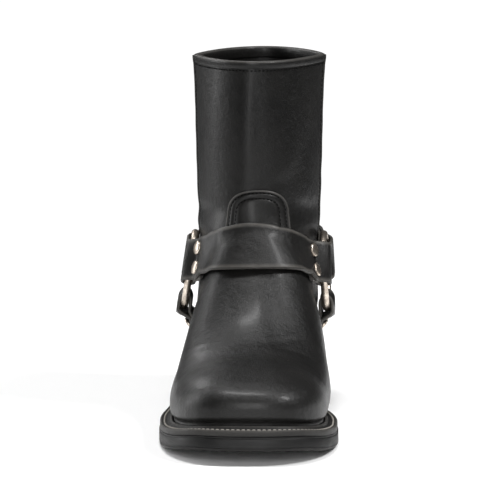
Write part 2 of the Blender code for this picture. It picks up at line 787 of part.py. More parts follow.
LANES = 5
FOLD_STEPS = 7
LAP_ROWS = 6
LOOP_HEIGHT = WIRE_RADIUS + GAP + STRAP_THICK / 2
LOOP_DEEP = WIRE_RADIUS + LOOP_SLACK + STRAP_THICK / 2


def lap_row(ring, turn, away, lanes, layer, rivet_out):
    """One row of a strap's middle surface beside the ring, away from its wire: layer -1 is the
    under one, against the upper, and 1 the top one. Both lie down before the rivets."""
    out, side = ring.direction(turn), ring.direction(turn + math.pi / 2)
    down = rivet_out - RIVET_RADIUS * 0.7
    loose = 1 - ease((away - LOOP_DEEP) / (down - LOOP_DEEP))
    reach = RING_RADIUS + away
    reach = reach * (1 - loose) + np.sqrt(reach**2 - lanes**2) * loose
    flat = ring.centre + out * reach[:, None] + side * lanes[:, None]
    held = flat + ring.normal * layer * LOOP_HEIGHT
    rest = STRAP_SEAT + STRAP_THICK / 2 + (layer > 0) * (STRAP_THICK + FOLD_GAP)
    return held * loose + onto_skin(flat, rest) * (1 - loose)


def lap_grid(ring, turn, width, rivet_out, layer):
    """A lap's lanes, its rows' distances from the wire and the rows themselves, outwards."""
    lanes = np.linspace(-width / 2, width / 2, LANES)
    aways = np.linspace(LOOP_DEEP, rivet_out + LAP_END, LAP_ROWS)
    rows = [lap_row(ring, turn, away, lanes, layer, rivet_out) for away in aways]
    return lanes, aways, np.array(rows)


def loop_rows(ring, turn, width, rivet_out):
    """Rows of a strap's middle surface from its under end, round the wire, to the lap's end."""
    out, side = ring.direction(turn), ring.direction(turn + math.pi / 2)
    lanes, _, under = lap_grid(ring, turn, width, rivet_out, -1)
    folds = []
    for fold in np.linspace(-math.pi / 2, -3 * math.pi / 2, FOLD_STEPS):
        reach = np.sqrt((RING_RADIUS + LOOP_DEEP * math.cos(fold)) ** 2 - lanes**2)
        row = ring.centre + out * reach[:, None] + side * lanes[:, None]
        folds.append(row + ring.normal * LOOP_HEIGHT * math.sin(fold))
    top = lap_grid(ring, turn, width, rivet_out, 1)[2]
    return np.concatenate([under[::-1], folds, top])


def run_rows(rings, tilt, forward, width, steps):
    """Rows of the middle surface of a strap that goes round the boot from ring to ring."""
    origin = (rings[0].centre + rings[1].centre) / 2
    sign = 1 if forward else -1
    ahead = np.array([0.0, sign * math.cos(tilt), sign * math.sin(tilt)])
    ends = []
    for ring in rings:
        out = ring.direction(ring.heading(tilt, forward))
        end = ring.centre + out * (RING_RADIUS + GIRTH_RIVET_OUT + LAP_END)
        end = onto_skin(end)[0] - origin
        turn = math.atan2(end[0], end @ ahead)
        ends.append(turn - math.copysign(RUN_START / np.linalg.norm(end), turn))
    turns = np.linspace(ends[0], ends[1], steps)
    aim = np.stack([[math.sin(t), 0, 0] + ahead * math.cos(t) for t in turns])
    near, far = np.zeros((steps, 1)), np.full((steps, 1), SHAFT_DEPTH)
    for _ in range(40):
        middle = (near + far) / 2
        outside = (skin(*(origin + aim * middle).T) > 0)[:, None]
        near, far = np.where(outside, near, middle), np.where(outside, middle, far)
    line = origin + aim * near
    along = np.gradient(line, axis=0)
    across = np.cross(along, slope(line))
    across /= np.linalg.norm(across, axis=1, keepdims=True) * np.sign(across[:, 2:])
    lanes = np.linspace(-0.5, 0.5, LANES)
    widths = STRAP_WIDTH + (width - STRAP_WIDTH) * np.sin(np.linspace(0, math.pi, steps)) ** 0.7
    ends = np.minimum(
        np.linalg.norm(line - line[0], axis=1), np.linalg.norm(line - line[-1], axis=1)
    )
    doubled = 1 - ease((ends + 6 * MM) / (STEP_DOWN + 6 * MM))
    rows = []
    for place, way, wide, double in zip(line, across, widths, doubled):
        lift = STRAP_SEAT + STRAP_THICK / 2 + (STRAP_THICK + FOLD_GAP) * double
        if forward:
            lift += TAB_STEP * ease((TAB_WIDTH * 0.75 - abs(place[0])) / (8 * MM))
        rows.append(onto_skin(place + way * (lanes * wide)[:, None], lift))
    return np.array(rows)


def add_sheet(name, middle, thick, material):
    """A strap: the middle surface, rows of lanes, thickened to both sides."""
    rows, lanes = middle.shape[:2]
    along, across = np.gradient(middle, axis=0), np.gradient(middle, axis=1)
    normal = np.cross(along, across)
    normal /= np.linalg.norm(normal, axis=2, keepdims=True)
    sides = [middle + normal * thick / 2, (middle - normal * thick / 2)[:, ::-1]]
    sections = np.concatenate(sides, 1)
    return add_tube_of_sections(name, sections, material)


def add_rivet(name, place, normal, metal):
    """A domed rivet cap that sits on the strap."""
    sides = 10
    side = np.cross(normal, [0, 0, 1])
    side /= np.linalg.norm(side)
    rise = np.cross(side, normal)
    dome = [(1.0, 0.0), (0.96, 0.45), (0.62, 1.0)]
    sections = [
        [
            place + normal * RIVET_HEIGHT * height
            + RIVET_RADIUS * share * (side * math.cos(a) + rise * math.sin(a))
            for a in np.linspace(0, 2 * math.pi, sides, endpoint=False)
        ]
        for share, height in dome
    ]
    return add_tube_of_sections(name, np.array(sections), metal)


def add_rivets(name, ring, turn, out, seat, metal):
    """Two rivets through the lap of a strap that leaves the ring at turn. Each stands on the
    highest point of the strap under its rim."""
    lanes, aways, rows = lap_grid(ring, turn, STRAP_WIDTH, out, 1)

    def lap_point(away, lane):
        line = [[np.interp(lane, lanes, row[:, axis]) for axis in range(3)] for row in rows]
        return np.array([np.interp(away, aways, axis) for axis in np.transpose(line)])

    for number, offset in enumerate((-0.5, 0.5)):
        lane, reach = RIVET_SPREAD * offset, RIVET_RADIUS
        place = lap_point(out, lane)
        ahead = lap_point(out + reach, lane) - lap_point(out - reach, lane)
        aside = lap_point(out, lane + reach) - lap_point(out, lane - reach)
        normal = np.cross(ahead, aside)
        normal /= np.linalg.norm(normal) * np.sign(normal @ ring.normal)
        rim = [
            lap_point(out + reach * math.cos(turn), lane + reach * math.sin(turn))
            for turn in np.linspace(0, 2 * math.pi, 8, endpoint=False)
        ]
        high = max(float((point - place) @ normal) for point in rim + [place])
        place = place + normal * (STRAP_THICK / 2 + high + seat)
        add_rivet(f"rivet_{name}_{number + 1}", place, normal, metal)


def make_girth_strap(name, rings, height, forward, width, steps, leather, metal):
    """The front or the back strap: folded round each ring's wire, riveted, and run between."""
    along = OUTSOLE_LENGTH * Ring.along
    reach = OUTSOLE_LENGTH * INSTEP_ALONG - along if forward else along
    tilt = math.atan2((height - RING_HEIGHT) * (1 if forward else -1), reach)
    run = run_rows(rings, tilt, forward, width, steps)
    turns = [ring.heading(tilt, forward) for ring in rings]
    first, last = (
        loop_rows(ring, turn, STRAP_WIDTH, GIRTH_RIVET_OUT) for ring, turn in zip(rings, turns)
    )
    rows = np.concatenate([facing(first, run), run, facing(last, run)[::-1]])
    add_sheet(f"{name}_strap", rows, STRAP_THICK, leather)
    for ring, turn, side in zip(rings, turns, ("lateral", "medial")):
        add_rivets(f"{name}_{side}", ring, turn, GIRTH_RIVET_OUT, GIRTH_RIVET_SEAT, metal)


def facing(rows, run):
    """The rows with their lanes in the same order, bottom to top, as the run's."""
    same = (rows[0, -1, 2] > rows[0, 0, 2]) == (run[0, -1, 2] > run[0, 0, 2])
    return rows if same else rows[:, ::-1]


def make_lower_strap(name, ring, leather, metal):
    """The short strap from a ring's underside down to the welt."""
    turn = -math.pi / 2
    reach = RING_RADIUS + LOWER_RIVET_OUT + LAP_END + RUN_START
    start = ring.centre + ring.direction(turn) * reach
    lanes = np.linspace(-0.5, 0.5, LANES) * STRAP_WIDTH
    side = ring.direction(turn + math.pi / 2)
    rows = []
    for step in np.linspace(0, 1, 6):
        row = start + side * lanes[:, None]
        low = bottom_edge(row[:, 1]) + WELT_THICK + WELT_LIP_RISE + STRAP_SEAT
        row[:, 2] = start[2] + (low - start[2]) * step
        seated = onto_skin(row, STRAP_SEAT + STRAP_THICK / 2)
        seated[:, 2] = row[:, 2]
        rows.append(seated)
    rows = np.concatenate([loop_rows(ring, turn, STRAP_WIDTH, LOWER_RIVET_OUT), rows])
    add_sheet(f"lower_strap_{name}", rows, STRAP_THICK, leather)
    add_rivets(f"lower_{name}", ring, turn, LOWER_RIVET_OUT, LOWER_RIVET_SEAT, metal)


def main():
    for old in list(bpy.data.objects):
        bpy.data.objects.remove(old)
    leather = finish_of("leather", (0.022, 0.021, 0.020), 0.45)
    rubber = finish_of("rubber", (0.020, 0.019, 0.018), 0.7)
    lining = finish_of("lining", (0.03, 0.028, 0.026), 0.8)
    metal = finish_of("metal", (0.60, 0.55, 0.48), 0.3, 1.0)
    make_upper(leather)
    make_outsole(rubber)
    make_insole(lining)
    make_welt(leather)
    make_heel(leather, rubber)
    rings = Ring(-1), Ring(1)
    make_ring("ring_lateral", rings[0], metal)
    make_ring("ring_medial", rings[1], metal)
    make_girth_strap(
        "front", rings, FRONT_STRAP_HEIGHT, True, FRONT_STRAP_WIDTH, 18, leather, metal
    )
    make_girth_strap("back", rings, BACK_STRAP_HEIGHT, False, STRAP_WIDTH, 22, leather, metal)
    make_lower_strap("lateral", rings[0], leather, metal)
    make_lower_strap("medial", rings[1], leather, metal)


main()
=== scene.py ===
"""A black leather harness boot for the right foot on a white floor, dressed over its frame.

Inside the functions a point is (x, s, z) in metres: x is towards the inner side, s runs forward
from the back of the sole and z is up.
"""

import math

import bmesh
import bpy
import numpy as np
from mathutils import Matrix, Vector

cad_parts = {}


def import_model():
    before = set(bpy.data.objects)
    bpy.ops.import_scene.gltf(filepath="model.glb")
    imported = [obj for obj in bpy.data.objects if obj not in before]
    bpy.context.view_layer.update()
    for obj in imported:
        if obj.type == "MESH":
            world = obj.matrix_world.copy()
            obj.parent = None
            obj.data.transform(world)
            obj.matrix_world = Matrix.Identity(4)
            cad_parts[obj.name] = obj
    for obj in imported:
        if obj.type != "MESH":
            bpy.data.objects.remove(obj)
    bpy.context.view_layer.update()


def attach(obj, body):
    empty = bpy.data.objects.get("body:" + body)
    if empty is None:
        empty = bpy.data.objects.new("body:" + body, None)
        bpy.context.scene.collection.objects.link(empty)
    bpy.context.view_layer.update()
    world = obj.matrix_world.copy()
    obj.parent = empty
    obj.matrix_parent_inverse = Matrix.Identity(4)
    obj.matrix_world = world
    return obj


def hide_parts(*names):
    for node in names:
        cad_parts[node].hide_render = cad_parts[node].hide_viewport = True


MM = 0.001

# Driving sizes
OUTSOLE_LENGTH = 300 * MM
BALL_WIDTH = 110 * MM
BOOT_HEIGHT = 226 * MM
HEEL_HEIGHT = 36 * MM
TOE_SPRING = 9 * MM
INSTEP_HEIGHT = 100 * MM
SHAFT_WIDTH = 86 * MM
SHAFT_DEPTH = 121 * MM
WALL = 2.4 * MM
GAP = 0.3 * MM
EDGE_GAP = 0.8 * MM

# Sole
OUTSOLE_THICK = 8.5 * MM
OUTSOLE_STEP = 0.7 * MM
OUTSOLE_STEP_DOWN = 1.2 * MM
OUTSOLE_EDGE = 1.2 * MM
WELT_THICK = 4.2 * MM
WELT_LIP_RISE = 2.0 * MM
WELT_LEDGE = 9.0 * MM
INSOLE_THICK = 4.0 * MM
INSOLE_CLEAR = 0.7 * MM
INSOLE_ROUND = 0.5 * MM

# Heel
HEEL_LENGTH = 74 * MM
HEEL_TAPER = 2.6 * MM
HEEL_PITCH = 5.0 * MM
HEEL_LIFT_THICK = 7.0 * MM
HEEL_GROOVE = 0.5 * MM
HEEL_LAYERS = 3
HEEL_CENTRE = HEEL_PITCH / 2 + HEEL_LENGTH / 2
GROUND_EDGE = 0.8 * MM

# Upper
SWELL_START = 6.5 * MM
END_SWELL = 1.6 * MM
CROWN_START = 14 * MM
HEEL_LEAN = 20 * MM
BLEND = 16 * MM
SHAFT_START = 18 * MM
SHAFT_SINK = 26 * MM
TAB_WIDTH = 38 * MM
TAB_TOP = 145 * MM
TAB_DEPTH = 36 * MM
TAB_STEP = 1.2 * MM
TAB_SHIFT = 0.8 * MM
TAB_SHOULDER = 0.42
TAB_FLARE = 1.08
TAB_STEPS = 60
SEAM_RADIUS = 1.3 * MM
SEAM_SINK = 0.4 * MM
SEAM_END = 118 * MM
SEAM_SKEW = 4 * MM

# Harness
STRAP_THICK = 2.3 * MM
FRONT_STRAP_WIDTH = 34.5 * MM
STRAP_WIDTH = 27 * MM
STRAP_SEAT = 0.8 * MM
LOOP_SLACK = 0.9 * MM
RUN_START = 3 * MM
STEP_DOWN = 12 * MM
FOLD_GAP = 0.25 * MM
LAP_END = 6 * MM
RING_HEIGHT = 86 * MM
RING_RADIUS = 24 * MM
WIRE_RADIUS = 2.4 * MM
FRONT_STRAP_HEIGHT = 109 * MM
BACK_STRAP_HEIGHT = 110 * MM
RIVET_RADIUS = 4.4 * MM
RIVET_HEIGHT = 1.7 * MM
GIRTH_RIVET_SEAT = 0.35 * MM
LOWER_RIVET_SEAT = 1.05 * MM
GIRTH_RIVET_OUT = 13 * MM
LOWER_RIVET_OUT = 11 * MM
RIVET_SPREAD = 12.8 * MM
LOOP_HEIGHT = WIRE_RADIUS + GAP + STRAP_THICK / 2
LOOP_DEEP = WIRE_RADIUS + LOOP_SLACK + STRAP_THICK / 2

# Stitches: their pitch, their length and the radius of the thread, and how deep they lie in
# shares of that radius
SEAM_STITCH = (2.9 * MM, 2.0 * MM, 0.38 * MM)
TAB_STITCH = (2.5 * MM, 1.7 * MM, 0.42 * MM)
COLLAR_STITCH = (2.6 * MM, 1.8 * MM, 0.42 * MM)
WELT_STITCH = (3.1 * MM, 2.3 * MM, 0.62 * MM)
STITCH_LIFT = 0.1 * MM
STITCH_SINK = 0.35
WELT_STITCH_SINK = 0.15

# Powers of the rounded outlines, where 2 is an ellipse
TOE_SQUARE = 3.0
HEEL_ROUND = 2.3
SHAFT_SQUARE = 2.1

# Numbers of points and of steps
LANES = 13
LAP_ROWS = 12
FOLD_STEPS = 13
OUTLINE_PAIRS = 110
HEEL_PAIRS = 48
ROUND_PAIRS = 26
RING_HALVINGS = 46
HALVINGS = 40


def columns(*names, rows):
    """A table as a dict of arrays, one for each named column; read keeps its slopes there."""
    return dict(zip(names, np.array(rows, float).T))


# Half-widths from the heel-to-toe axis in shares of the ball width: of the outsole's edge, and of
# the upper where it is fullest. ledge is the welt's share of its width at the toe.
PLAN = columns(
    "along", "lateral", "medial", "body_lateral", "body_medial", "ledge",
    rows=[
        (0.00, 0.320, 0.320, 0.305, 0.305, 0.60),
        (0.08, 0.332, 0.330, 0.318, 0.318, 0.60),
        (0.16, 0.338, 0.332, 0.328, 0.325, 0.60),
        (0.26, 0.336, 0.312, 0.340, 0.332, 0.60),
        (0.36, 0.352, 0.284, 0.360, 0.348, 0.65),
        (0.46, 0.405, 0.298, 0.394, 0.396, 0.75),
        (0.56, 0.474, 0.368, 0.432, 0.420, 0.85),
        (0.64, 0.512, 0.446, 0.454, 0.437, 0.95),
        (0.70, 0.522, 0.477, 0.463, 0.434, 1.00),
        (0.78, 0.510, 0.481, 0.452, 0.424, 1.00),
        (0.88, 0.480, 0.466, 0.420, 0.408, 1.00),
        (1.00, 0.440, 0.436, 0.380, 0.376, 1.00),
    ],
)
TOE_START = 0.75
HEEL_END = 0.115

# The outsole's top line: its share of the heel's rise and of the toe spring, and its thickness.
SIDE = columns(
    "along", "heel", "toe", "thick",
    rows=[
        (0.00, 1.00, 0.00, 0.75),
        (0.15, 1.00, 0.00, 0.75),
        (0.26, 1.00, 0.00, 0.75),
        (0.32, 0.905, 0.00, 0.76),
        (0.38, 0.700, 0.00, 0.80),
        (0.45, 0.420, 0.00, 0.86),
        (0.52, 0.170, 0.00, 0.94),
        (0.58, 0.040, 0.00, 1.00),
        (0.63, 0.000, 0.00, 1.00),
        (0.74, 0.000, 0.00, 1.00),
        (0.82, 0.000, 0.18, 1.00),
        (0.91, 0.000, 0.53, 1.00),
        (1.00, 0.000, 1.00, 1.00),
    ],
)

# The top line of the foot above the upper's bottom edge and the height where the upper is
# fullest, in shares of the instep's height, and the roundness of the section over it.
FOOT = columns(
    "along", "top", "full", "crown",
    rows=[
        (0.00, 0.62, 0.34, 2.4),
        (0.25, 0.72, 0.34, 2.3),
        (0.36, 0.86, 0.32, 2.1),
        (0.42, 0.94, 0.30, 2.0),
        (0.49, 0.95, 0.27, 2.0),
        (0.55, 0.82, 0.24, 2.1),
        (0.60, 0.690, 0.20, 2.15),
        (0.65, 0.575, 0.16, 2.1),
        (0.70, 0.493, 0.14, 2.1),
        (0.75, 0.450, 0.13, 2.15),
        (0.80, 0.433, 0.12, 2.2),
        (0.85, 0.422, 0.11, 2.25),
        (0.92, 0.398, 0.11, 2.3),
        (1.00, 0.355, 0.11, 2.4),
    ],
)

# Level sections of the shaft: the height as a share of the boot's height, the front and back
# from the side seams as shares of the shaft's depth, the half-width as a share of its width,
# and how pointed the section is at the side seams (2 is an ellipse).
SHAFT = columns(
    "up", "front", "back", "half", "point",
    rows=[
        (0.00, 0.42, 0.52, 0.36, 2.0),
        (0.20, 0.44, 0.535, 0.38, 2.0),
        (0.33, 0.47, 0.520, 0.400, 2.0),
        (0.43, 0.485, 0.500, 0.428, 2.0),
        (0.52, 0.495, 0.485, 0.448, 1.95),
        (0.62, 0.500, 0.480, 0.456, 1.8),
        (0.75, 0.500, 0.482, 0.464, 1.6),
        (0.88, 0.500, 0.490, 0.472, 1.4),
        (1.00, 0.500, 0.500, 0.484, 1.25),
    ],
)
SEAM_ALONG = 0.262
INSTEP_ALONG = 0.507

# The rings that the upper's rows follow, from the collar to the bottom edge: their heights at
# the back and front as shares between the bottom edge and the collar, where the front lies,
# and the two ends of the spine that a ring's points are cast from.
RINGS = columns(
    "back", "front", "reach", "spine_back", "spine_front",
    rows=[
        (1.000, 1.000, 0.467, 0.205, 0.320),
        (0.837, 0.851, 0.470, 0.205, 0.320),
        (0.653, 0.684, 0.477, 0.205, 0.320),
        (0.521, 0.576, 0.490, 0.200, 0.325),
        (0.416, 0.482, 0.523, 0.190, 0.340),
        (0.326, 0.410, 0.573, 0.180, 0.380),
        (0.258, 0.332, 0.640, 0.170, 0.450),
        (0.205, 0.264, 0.713, 0.165, 0.530),
        (0.163, 0.2105, 0.790, 0.160, 0.610),
        (0.126, 0.176, 0.860, 0.155, 0.680),
        (0.097, 0.142, 0.917, 0.150, 0.730),
        (0.071, 0.102, 0.957, 0.145, 0.760),
        (0.047, 0.064, 0.973, 0.140, 0.780),
        (0.0237, 0.032, 0.973, 0.135, 0.790),
        (0.000, 0.000, 0.970, 0.130, 0.790),
    ],
)


def read(table, column, key, at):
    """A smooth curve through a table's column, level at its ends, peaks and flats."""
    xs, ys = table[key], table[column]
    at = np.clip(at, xs[0], xs[-1])
    if (column, key) not in table:
        steps = np.diff(ys) / np.diff(xs)
        turning = np.append(np.append(True, steps[:-1] * steps[1:] <= 0), True)
        table[column, key] = np.where(turning, 0.0, np.gradient(ys, xs))
    slopes = table[column, key]
    i = np.clip(np.searchsorted(xs, at, side="right") - 1, 0, len(xs) - 2)
    width = xs[i + 1] - xs[i]
    t = (at - xs[i]) / width
    return (
        ys[i] * (1 + 2 * t) * (1 - t) ** 2
        + slopes[i] * width * t * (1 - t) ** 2
        + ys[i + 1] * t * t * (3 - 2 * t)
        + slopes[i + 1] * width * t * t * (t - 1)
    )


def ease(t):
    """0 to 1 with level ends."""
    t = np.clip(t, 0.0, 1.0)
    return t * t * (3 - 2 * t)


def outsole_bottom(s):
    share = s / OUTSOLE_LENGTH
    heel_rise = HEEL_HEIGHT - OUTSOLE_THICK * SIDE["thick"][0]
    rise = heel_rise * read(SIDE, "heel", "along", share)
    return rise + TOE_SPRING * read(SIDE, "toe", "along", share)


def outsole_top(s):
    return outsole_bottom(s) + OUTSOLE_THICK * read(SIDE, "thick", "along", s / OUTSOLE_LENGTH)


def bottom_edge(s):
    """Height of the upper's bottom edge, just clear of the outsole."""
    return outsole_top(s) + EDGE_GAP


def superellipse(t, power):
    """The height, from 1 to 0, of a rounded quarter at t, from 0 to 1."""
    return np.maximum(1 - np.clip(t, 0, 1) ** power, 0) ** (1 / power)


def full_width(s, medial, ledge=0.0, grow=0.0, body=0.0):
    """Half-width at s before the ends are rounded. ledge is the share of the welt's ledge it is
    set in by, grow moves it outwards, and body turns it from the sole's outline (0) into the
    upper's fullest one (1)."""
    share = s / OUTSOLE_LENGTH

    def plan(kind):
        sides = (read(PLAN, kind + side, "along", share) for side in ("medial", "lateral"))
        return np.where(medial, *sides)

    edge = plan("") * BALL_WIDTH - WELT_LEDGE * ledge * read(PLAN, "ledge", "along", share) + grow
    return edge + (BALL_WIDTH * plan("body_") - edge) * body


def end_shares(s, ledge, grow, lean=0.0):
    """How far s is into the toe's and into the heel's rounding, from 0 to 1 at the very end."""
    toe_start, toe_end = OUTSOLE_LENGTH * TOE_START, outline_end(ledge, grow)
    heel_start, heel_end = OUTSOLE_LENGTH * HEEL_END, outline_start(ledge, grow) + lean
    toe = np.maximum((s - toe_start) / (toe_end - toe_start), 0)
    return toe, np.maximum((heel_start - s) / (heel_start - heel_end), 0)


def half_width(s, medial, ledge=0.0, grow=0.0):
    """Half-width of a plan outline at s, rounded at the toe and heel."""
    toe, heel = end_shares(s, ledge, grow)
    half = full_width(s, medial, ledge, grow)
    return half * superellipse(toe, TOE_SQUARE) * superellipse(heel, HEEL_ROUND)


def outline_end(ledge, grow):
    return OUTSOLE_LENGTH - WELT_LEDGE * ledge * PLAN["ledge"][-1] + grow


def outline_start(ledge, grow):
    return WELT_LEDGE * ledge * PLAN["ledge"][0] - grow


def foot_form(x, s, z):
    """Signed distance, roughly, to the outside of the foot part of the upper."""
    share = s / OUTSOLE_LENGTH
    up = z - bottom_edge(s)
    full_height = INSTEP_HEIGHT * read(FOOT, "full", "along", share)
    body = ease((up - SWELL_START) / (full_height - SWELL_START))
    lean = HEEL_LEAN * ease((up - CROWN_START) / INSTEP_HEIGHT)
    toe, heel = end_shares(s, 1.0, END_SWELL * body, lean)
    half = full_width(s, x > 0, 1.0, END_SWELL * body, body)
    across = ((np.abs(x) / half) ** TOE_SQUARE + toe**TOE_SQUARE) ** (1 / TOE_SQUARE)
    back = ((np.abs(x) / half) ** HEEL_ROUND + heel**HEEL_ROUND) ** (1 / HEEL_ROUND)
    across = np.maximum(across, back)
    height = INSTEP_HEIGHT * read(FOOT, "top", "along", share) - CROWN_START
    rise = np.maximum(up - CROWN_START, 0) / height
    power = read(FOOT, "crown", "along", share)
    return ((across**power + rise**power) ** (1 / power) - 1) * np.minimum(half, height)


def shaft_form(x, s, z):
    """Signed distance, roughly, to the outside of the shaft."""
    up = z / BOOT_HEIGHT
    half = SHAFT_WIDTH * read(SHAFT, "half", "up", up)
    power = read(SHAFT, "point", "up", up)
    from_seam = s - OUTSOLE_LENGTH * SEAM_ALONG + SEAM_SKEW * x / half
    side = np.where(from_seam > 0, read(SHAFT, "front", "up", up), read(SHAFT, "back", "up", up))
    deep = np.abs(from_seam) / (SHAFT_DEPTH * side)
    radial = (np.abs(x) / half) ** SHAFT_SQUARE + deep**power
    return (radial ** (2 / (SHAFT_SQUARE + power)) - 1) * half


def skin(x, s, z):
    """Signed distance, roughly, to the upper's outside: foot and shaft in one smooth form. The
    shaft sinks into the foot towards the bottom edge."""
    foot = foot_form(x, s, z)
    shaft = shaft_form(x, s, z) + SHAFT_SINK * (1 - ease((z - bottom_edge(s)) / SHAFT_START))
    mix = np.clip(0.5 + 0.5 * (shaft - foot) / BLEND, 0, 1)
    return shaft * (1 - mix) + foot * mix - BLEND * mix * (1 - mix)


def slope(points):
    """Outward unit normals of the skin at points (n, 3) of x, s, z."""
    step = 0.2 * MM
    grads = []
    for axis in range(3):
        ahead, behind = points.copy(), points.copy()
        ahead[:, axis] += step
        behind[:, axis] -= step
        grads.append(skin(*ahead.T) - skin(*behind.T))
    grads = np.stack(grads, 1)
    return grads / np.linalg.norm(grads, axis=1, keepdims=True)


def onto_skin(points, lift=0.0):
    """The points moved along their normals to stand lift outside the skin."""
    points = np.array(points, float).reshape(-1, 3)
    for _ in range(30):
        off = np.clip(skin(*points.T), -4 * MM, 4 * MM)
        points = points - slope(points) * off[:, None]
        if np.abs(off).max() < 0.001 * MM:
            break
    return points + slope(points) * lift


def crossing(is_outside, near, far, steps):
    """The two distances, very close together, between which points come to lie outside."""
    for _ in range(steps):
        middle = (near + far) / 2
        outside = is_outside(middle)
        near, far = np.where(outside, near, middle), np.where(outside, middle, far)
    return near, far


def ring_columns(front, side, back):
    """Each column's direction, 0 forwards, and its place on the spine, 0 back and 1 front."""
    quarter = math.pi / 2
    arc = np.linspace(-quarter, quarter, front, endpoint=False)
    heel = np.linspace(quarter, 3 * quarter, back, endpoint=False)
    slide = np.linspace(0, 1, side, endpoint=False)
    turn = np.concatenate([arc, np.full(side, quarter), heel, np.full(side, -quarter)])
    place = np.concatenate([np.ones(front), 1 - slide, np.zeros(back), slide])
    return turn, place


def upper_grid(rows, front, side, back):
    """The upper's outside as rows of (x, s, z) points, from the collar down."""
    turn, place = ring_columns(front, side, back)
    index = np.linspace(0, 1, rows)
    keys = dict(RINGS, row=np.linspace(0, 1, len(RINGS["back"])))
    ring = {name: read(keys, name, "row", index)[:, None] for name in RINGS}
    origin = OUTSOLE_LENGTH * (
        ring["spine_back"] + (ring["spine_front"] - ring["spine_back"]) * place
    )
    near, far = np.zeros_like(origin), np.full_like(origin, OUTSOLE_LENGTH * 0.6)
    near, far = crossing(
        lambda reach: skin(*ring_point(ring, origin, turn, reach)) > 0, near, far, RING_HALVINGS
    )
    return np.stack(ring_point(ring, origin, turn, (near + far) / 2), -1)


def ring_point(ring, origin, turn, reach):
    s = origin + reach * np.cos(turn)
    x = reach * np.sin(turn)
    share = s / (OUTSOLE_LENGTH * ring["reach"])
    up = ring["back"] + (ring["front"] - ring["back"]) * share
    base = bottom_edge(s)
    return x, s, base + up * (BOOT_HEIGHT - base)


def to_world(points):
    """(x, s, z) to the boot's own frame."""
    points = np.asarray(points, float)
    return np.stack([points[..., 0], HEEL_CENTRE - points[..., 1], points[..., 2]], -1)


def grid_faces(rows, count, wrap=True):
    """Quads between neighbouring rows of points."""
    last = count if wrap else count - 1
    return [
        (r * count + c, r * count + (c + 1) % count, (r + 1) * count + (c + 1) % count,
         (r + 1) * count + c)
        for r in range(rows - 1)
        for c in range(last)
    ]


def plan_pairs(count, ledge, grow, end=None):
    """Matching lateral and medial outline points, closer together at the two round ends."""
    start, heel_start = outline_start(ledge, grow), OUTSOLE_LENGTH * HEEL_END
    round_end = np.linspace(0, math.pi / 2, ROUND_PAIRS + 1, endpoint=False)[1:]
    heel = heel_start - (heel_start - start) * np.cos(round_end) ** (2 / HEEL_ROUND)
    if end is None:
        end, toe_start = outline_end(ledge, grow), OUTSOLE_LENGTH * TOE_START
        toe = toe_start + (end - toe_start) * np.sin(round_end) ** (2 / TOE_SQUARE)
        sides = np.linspace(heel_start, toe_start, count - 2 * len(round_end))
        s = np.concatenate([heel, sides, toe])
    else:
        s = np.append(heel, np.linspace(heel_start, end, count - len(round_end) + 1)[:-1])
    left = -half_width(s, np.zeros(count, bool), ledge, grow)
    right = half_width(s, np.ones(count, bool), ledge, grow)
    return s, left, right


def outline_loop(count, ledge, grow, end=None):
    """The plan outline as one loop of (x, s): the heel's tip, lateral side, toe, medial side."""
    s, left, right = plan_pairs(count, ledge, grow, end=end)
    start = outline_start(ledge, grow)
    lateral, medial = np.stack([left, s], 1), np.stack([right, s], 1)
    if end is None:
        tips = [[0, start]], [[0, outline_end(ledge, grow)]]
        return np.concatenate([tips[0], lateral, tips[1], medial[::-1]])
    cut = [[-half_width(end, False, ledge, grow), end], [half_width(end, True, ledge, grow), end]]
    return np.concatenate([[[0, start]], lateral, cut, medial[::-1]])


def ladder_faces(count, first=0):
    """Faces across an outline_loop whose two sides match, from the heel's tip to the toe's."""
    total = 2 * count + 2
    pair = [(first + i, first + (total - i) % total) for i in range(count + 2)]
    faces = [(pair[0][0], pair[1][0], pair[1][1])]
    for (a, b), (c, d) in zip(pair[1:-2], pair[2:-1]):
        faces.append((a, c, d, b))
    faces.append((pair[-2][0], pair[-1][0], pair[-2][1]))
    return faces


def heel_loop(count, drop, grow=0.0):
    """The heel's outline at a share of its drop: the back comes forward and the sides taper."""
    breast = HEEL_LENGTH + HEEL_PITCH * 0.3 * (1 - drop)
    loop = outline_loop(count, 0, -HEEL_TAPER * drop + grow, end=breast)
    back = HEEL_PITCH * drop * (1 - np.clip(loop[:, 1] / HEEL_LENGTH, 0, 1))
    loop[:, 1] += back
    return loop


